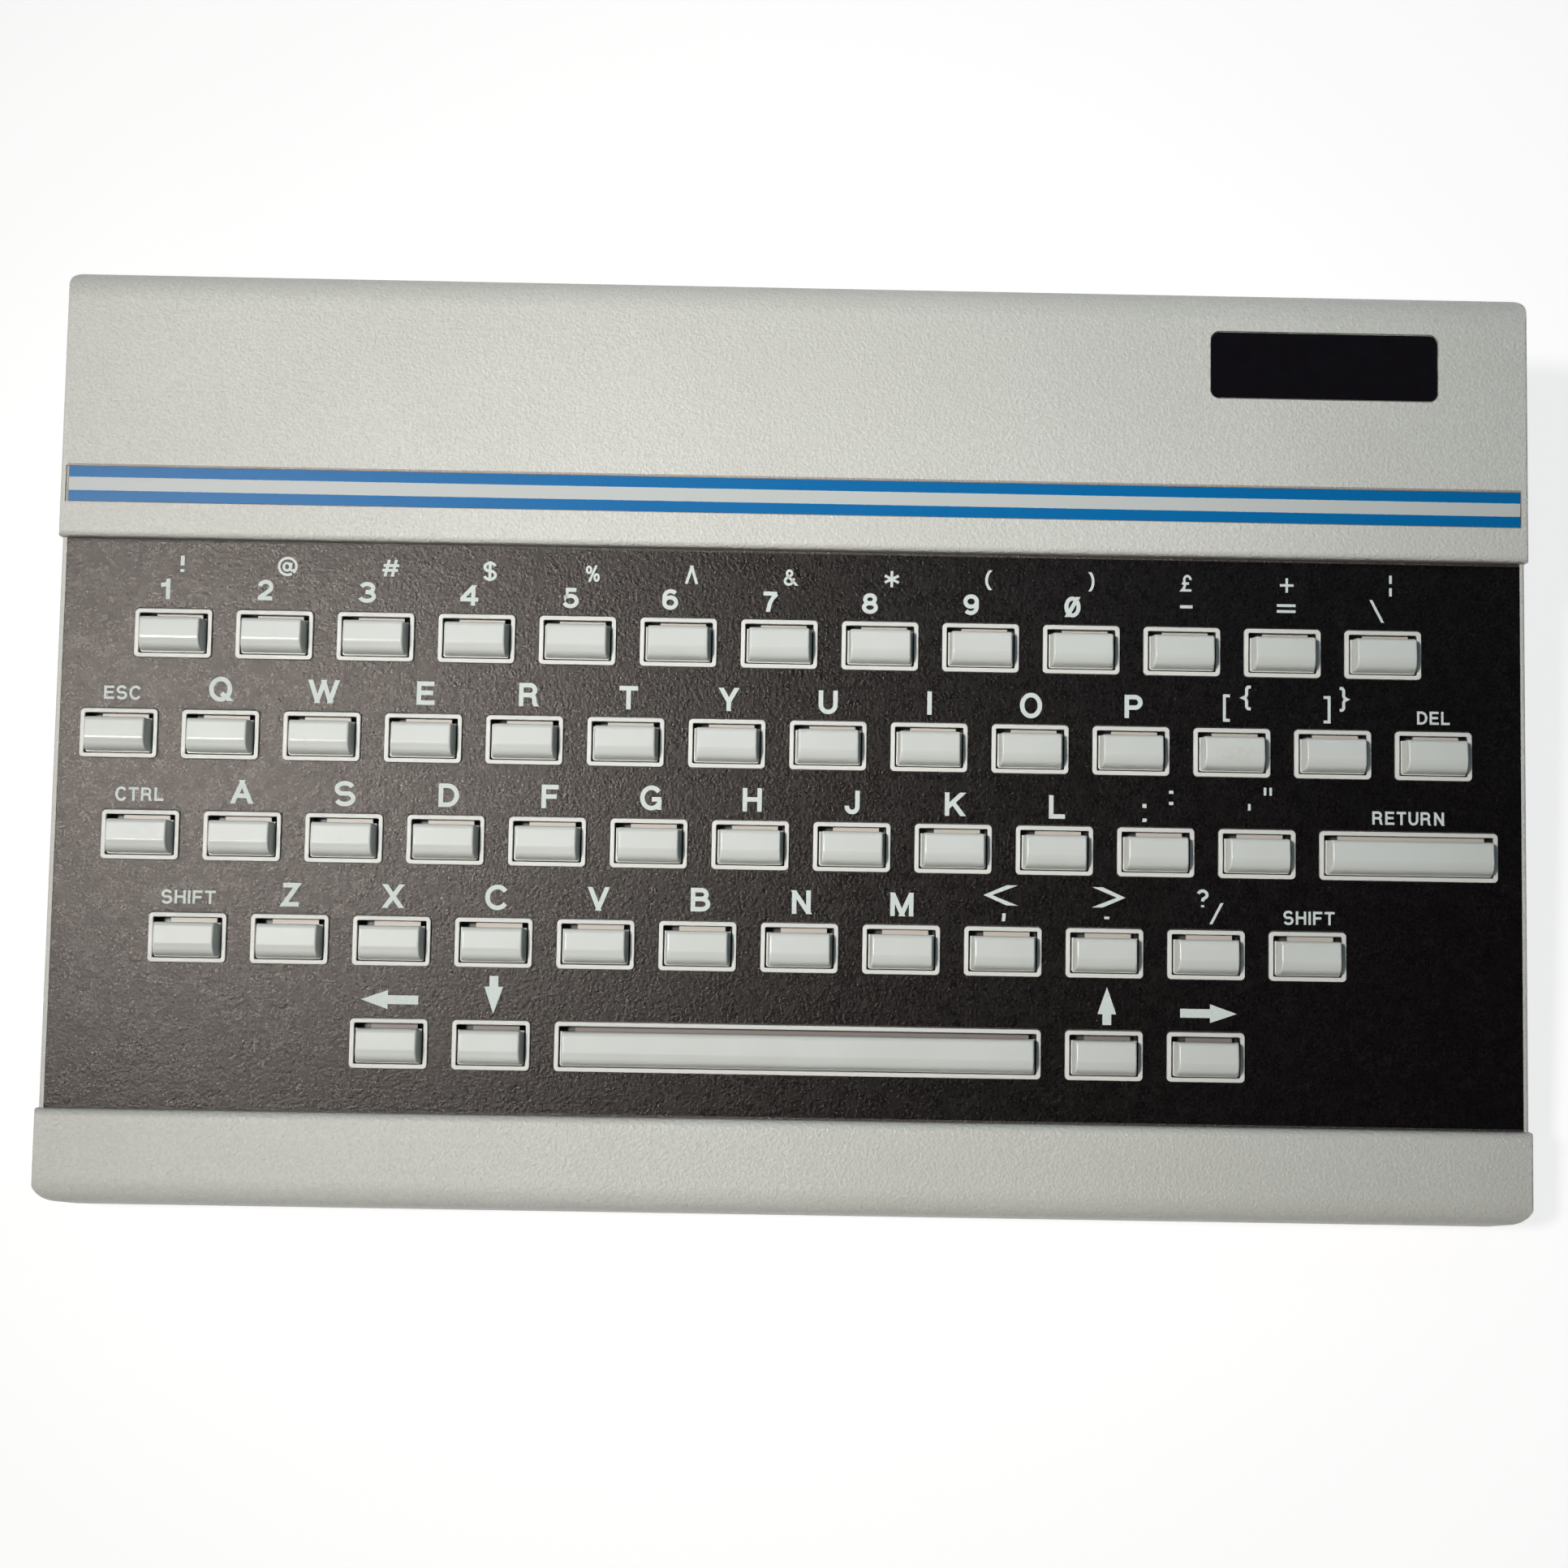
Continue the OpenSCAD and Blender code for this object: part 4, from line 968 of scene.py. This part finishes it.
tvModulator = Sizes(x=-108, middle=19.6, low=(-133, 52.5, 9.6), high=(-83, 80.5, 29.6), metal=0.4,
    canEdge=0.7, lidHigh=5, lidEdge=0.6, lidRim=1.8, lidSink=0.35,
    slits=range(-127, -86, 6), slitHalf=0.3, slitFoot=6, slitTop=1.8,
    tabs=(-129, -87), tabHalf=(1.2, 0.25), tabIn=0.6, tabFoot=1.8,
    phonoBarrel="3.4,-5.9 5.6,-5.9 5.6,-5.1 5.4,-4.9 4.15,-4.9 4.15,-4.3 4,-4.1 4.15,-3.9 "
        "4.15,-.35 4.03,-.1 3.8,0 3.55,-.1 3.4,-.35",
    phonoInsulator="1.95,-5.9 3.38,-5.9 3.38,-1.4 3.15,-1.2 2.15,-1.2 1.95,-1.4",
    phonoContact="1.65,-5.4 1.93,-5.4 1.93,-1.35 1.79,-1.25 1.65,-1.35")


def makeModulator(look):
    low, high, metal = Vector(look.low), Vector(look.high), look.metal
    can = addBlock(low + Vector((metal, metal, 0)), high - Vector((metal,) * 3))
    bevelEdges(can, look.canEdge, 3, upright)
    # a lid with turned-down sides and spring fingers grips the can
    lid = addBlock((low.x, low.y, high.z - look.lidHigh), high)
    openEdit(lid, "FACE", lambda f: f.normal.z > 0.9)
    bpy.ops.mesh.inset(thickness=look.lidRim)
    bpy.ops.transform.translate(value=(0, 0, -look.lidSink))
    closeEdit()
    bevelEdges(lid, look.lidEdge, 3, lambda e: upright(e) or level(e, high.z))
    cutAway(lid, *[addBlock((x - look.slitHalf, low.y - 1, high.z - look.slitFoot),
        (x + look.slitHalf, high.y + 1, high.z - look.slitTop)) for x in look.slits])
    wide, thin = look.tabHalf
    tabs = [addBlock((x - wide, y - thin, low.z - look.tabFoot), (x + wide, y + thin, low.z + 1))
        for x in look.tabs for y in (low.y + look.tabIn, high.y - look.tabIn)]
    settleParts("tv_modulator", onDesk,
        (joinPieces("modulatorCan", can, lid, *tabs), "modulatorTin"))
    for name, finish, steps in (("phonoBarrel", "modulatorTin", 56),
            ("phonoInsulator", "socketInsulator", 48), ("phonoContact", "contactGold", 36)):
        piece = turnOutline(name, points(look[name]), steps=steps)
        smoothPiece(piece)
        settle(piece, rearPlace(look.x, look.middle), finish, "case")


makeModulator(tvModulator)
print("rear sockets made")


# underside: feet, screws, reset button and loudspeaker
footLook = Sizes(places=[(x, y) for x in (-124.8, 124.8) for y in (-63, 63)],
    profile="0,.55 2.2,.55 2.6,.45 3,.12 3.4,0 5,0 5.45,.1 5.7,.4 6,1.3 6,2.6 5.8,2.9 0,2.9")
# each row of screws has its y and the height of its tips
screwLook = Sizes(across=(-115, 0, 115), rows=((-75.5, 17.5), (42, 21)),
    head="0,3.28 1.4,3.25 2.1,3.4 2.7,3.85 2.9,4.4 2.9,5.1 2.7,5.2", core=1.17, shank=1.45,
    headTop=5.2, threadFoot=6.2, threadPitch=0.7, cone=1.6,
    cross=((-1.6, -0.35, 2.2), (1.6, 0.35, 4.4)), crossTaper=(0.45, 0.6))
buttonLook = Sizes(place=(40, -49.95),
              profile="0,3.18 .8,3.14 1.4,3 1.7,2.9 2,2.9 2.15,2.98 2.2,3.15 2.2,4.95 3.4,4.95 "
            "3.4,5.75 3.3,5.85 0,5.85")
speakerLook = Sizes(place=(-98, 8.05, 4.7),
    basket="22,0 24.8,0 25,.2 25,1.4 24.8,1.6 22.6,1.7 15.2,7.6 14.4,8 14.2,7.5 15,7.1 21.8,1.2",
    magnet="0,8 13.6,8 14,8.3 14,13.2 13.7,13.5 0,13.5", folds=9, foldWide=0.45, foldMiddle=0.75,
    foldHigh=0.28, foldsFrom=21.8, cone="17,2.6 13,5 9,7 8.4,7.1", dome=(8.4, 7.1, 2.6),
    paper=0.25)


def makeFeet():
    foot = turnOutline("foot", points(footLook.profile), False, 48)
    settleParts("rubber_feet", onDesk,
        (repeated("rubberFeet", foot, footLook.places), "feetRubber"))


def makeScrews(look):
    core, shank, threadPitch = look.core, look.shank, look.threadPitch
    rows = []
    for y, tip in look.rows:
        outline = points(look.head) + [(core, look.headTop), (core, look.threadFoot)]
        for i in range(int((tip - look.threadFoot - 2) / threadPitch)):
            foot = look.threadFoot + i * threadPitch
            outline += [(core, foot), (shank, foot + 0.3), (shank, foot + 0.36)]
        outline += [(core, tip - look.cone), (0.25, tip - 0.05), (0, tip)]
        screw = turnOutline("screw", outline, False, 28)
        arms = [addBlock(*look.cross) for turn in range(2)]
        for arm in arms:
            shrinkTop(arm, *look.crossTaper)
        arms[1].data.transform(Matrix.Rotation(radians(90), 4, "Z"))
        cutAway(screw, *arms)
        rows.append(repeated("screwRow", screw, [(x, y) for x in look.across]))
    settleParts("case_screws", onDesk, (joinPieces("caseScrews", *rows), "screwZinc"))


def makeResetButton():
    button = turnOutline("resetButton", points(buttonLook.profile), False)
    place = onDesk @ Matrix.Translation((*buttonLook.place, 0))
    settleParts("reset_button", place, (button, "resetRed"), body="reset_button")


def makeSpeaker(look):
    basket = turnOutline("speakerBasket", points(look.basket), steps=64)
    magnet = turnOutline("speakerMagnet", points(look.magnet), False, 64)
    outline = [(look.foldsFrom - look.foldWide * i, look.foldMiddle
        + look.foldHigh * sin(i * pi / 2)) for i in range(look.folds)]
    radius, foot, high = look.dome
    turns = [radians(a) for a in range(15, 90, 15)]
    outline += points(look.cone) + [(radius * cos(t), foot - high * sin(t)) for t in turns]
    cone = turnOutline("speakerCone", outline + [(0, foot - high)], False, 64)
    useModifier(cone, "SOLIDIFY", thickness=look.paper, offset=0)
    settleParts("speaker", onDesk @ Matrix.Translation(look.place), (basket, "screwZinc"),
        (magnet, "speakerMagnet"), (cone, "speakerPaper"))


makeFeet()
makeScrews(screwLook)
makeResetButton()
makeSpeaker(speakerLook)
print("underside made")


stageLook = Sizes(colour=0.3, roughness=0.9, glow=0.8, radius=2.2, wall=1.3, bend=0.5)


def makeStage(look):
    # pale floor that rises into a round wall far from the object
    newMaterial("stagePaper", (look.colour,) * 3, look.roughness)
    rays = addNode("LightPath", {}).outputs
    seen = maths("MAXIMUM", rays["Is Camera Ray"],
        maths("MAXIMUM", rays["Is Glossy Ray"], rays["Is Transmission Ray"]))
    feed((1, 1, 1, 1), "Emission Color")
    feed(times(seen, look.glow), "Emission Strength")
    selectOnly()
    bpy.ops.mesh.primitive_circle_add(vertices=96, radius=look.radius, fill_type="NGON")
    floor = bpy.context.object
    floor.name = "stage"
    openEdit(floor, "EDGE")
    bpy.ops.mesh.extrude_edges_move(TRANSFORM_OT_translate={"value": (0, 0, look.wall)})
    closeEdit()
    bevelEdges(floor, look.bend, 8, lambda e: level(e, 0) and len(e.link_faces) == 2)
    floor.data.materials.append(finishes["stagePaper"])


makeStage(stageLook)

lamps = {  # place, aim, size, spread in degrees, power and colour
    "mainLamp": ((-0.409, -0.088, 0.883), (0.004, 0.024, 0.036), 0.12, 42.6, 0.465,
                 (1, 0.97, 0.937)),
    "rearLamp": ((0.26, 0.38, 0.68), (0.13, 0.03, 0.03), 0.35, 75, 0.06, (0.34, 0.74, 1)),
    "rearFill": ((0, 0.8, 0.1), (0, 0.09, 0.02), 0.3, 180, 0.24, (1, 0.98, 0.95)),
    "frontLamp": ((-0.22, -0.55, 0.36), (0, 0, 0.03), 0.35, 180, 0.41, (1, 0.9, 0.78)),
}
for name, (place, aim, wide, spread, power, colour) in lamps.items():
    light = bpy.data.lights.new(name, "AREA")
    light.shape, light.size, light.energy, light.color = "DISK", wide, power, colour
    light.spread = radians(spread)
    lamp = addObject(name, light)
    lamp.location = place
    lamp.rotation_euler = (Vector(aim) - Vector(place)).to_track_quat("-Z", "Y").to_euler()
    lamp.visible_camera = False

room = Sizes(colour=(0.96, 0.98, 1, 1), strength=0.06)
world = bpy.data.worlds.new("softRoom")
world.use_nodes = True
background = world.node_tree.nodes["Background"].inputs
background["Color"].default_value = room.colour
background["Strength"].default_value = room.strength
bpy.context.scene.world = world

viewpoint = Sizes(place=(-0.003668, -0.098309, 0.395144), turn=(13.88242, -0.59183, 0.90903),
    lens=45.65, sensor=36, near=0.01)
view = bpy.data.cameras.new("viewCamera")
view.sensor_width, view.lens, view.clip_start = viewpoint.sensor, viewpoint.lens, viewpoint.near
camera = addObject("viewCamera", view)
camera.location = viewpoint.place
camera.rotation_euler = [radians(a) for a in viewpoint.turn]
bpy.context.scene.camera = camera
bpy.context.scene.view_settings.view_transform = "Standard"
print("stage, lights and camera set")
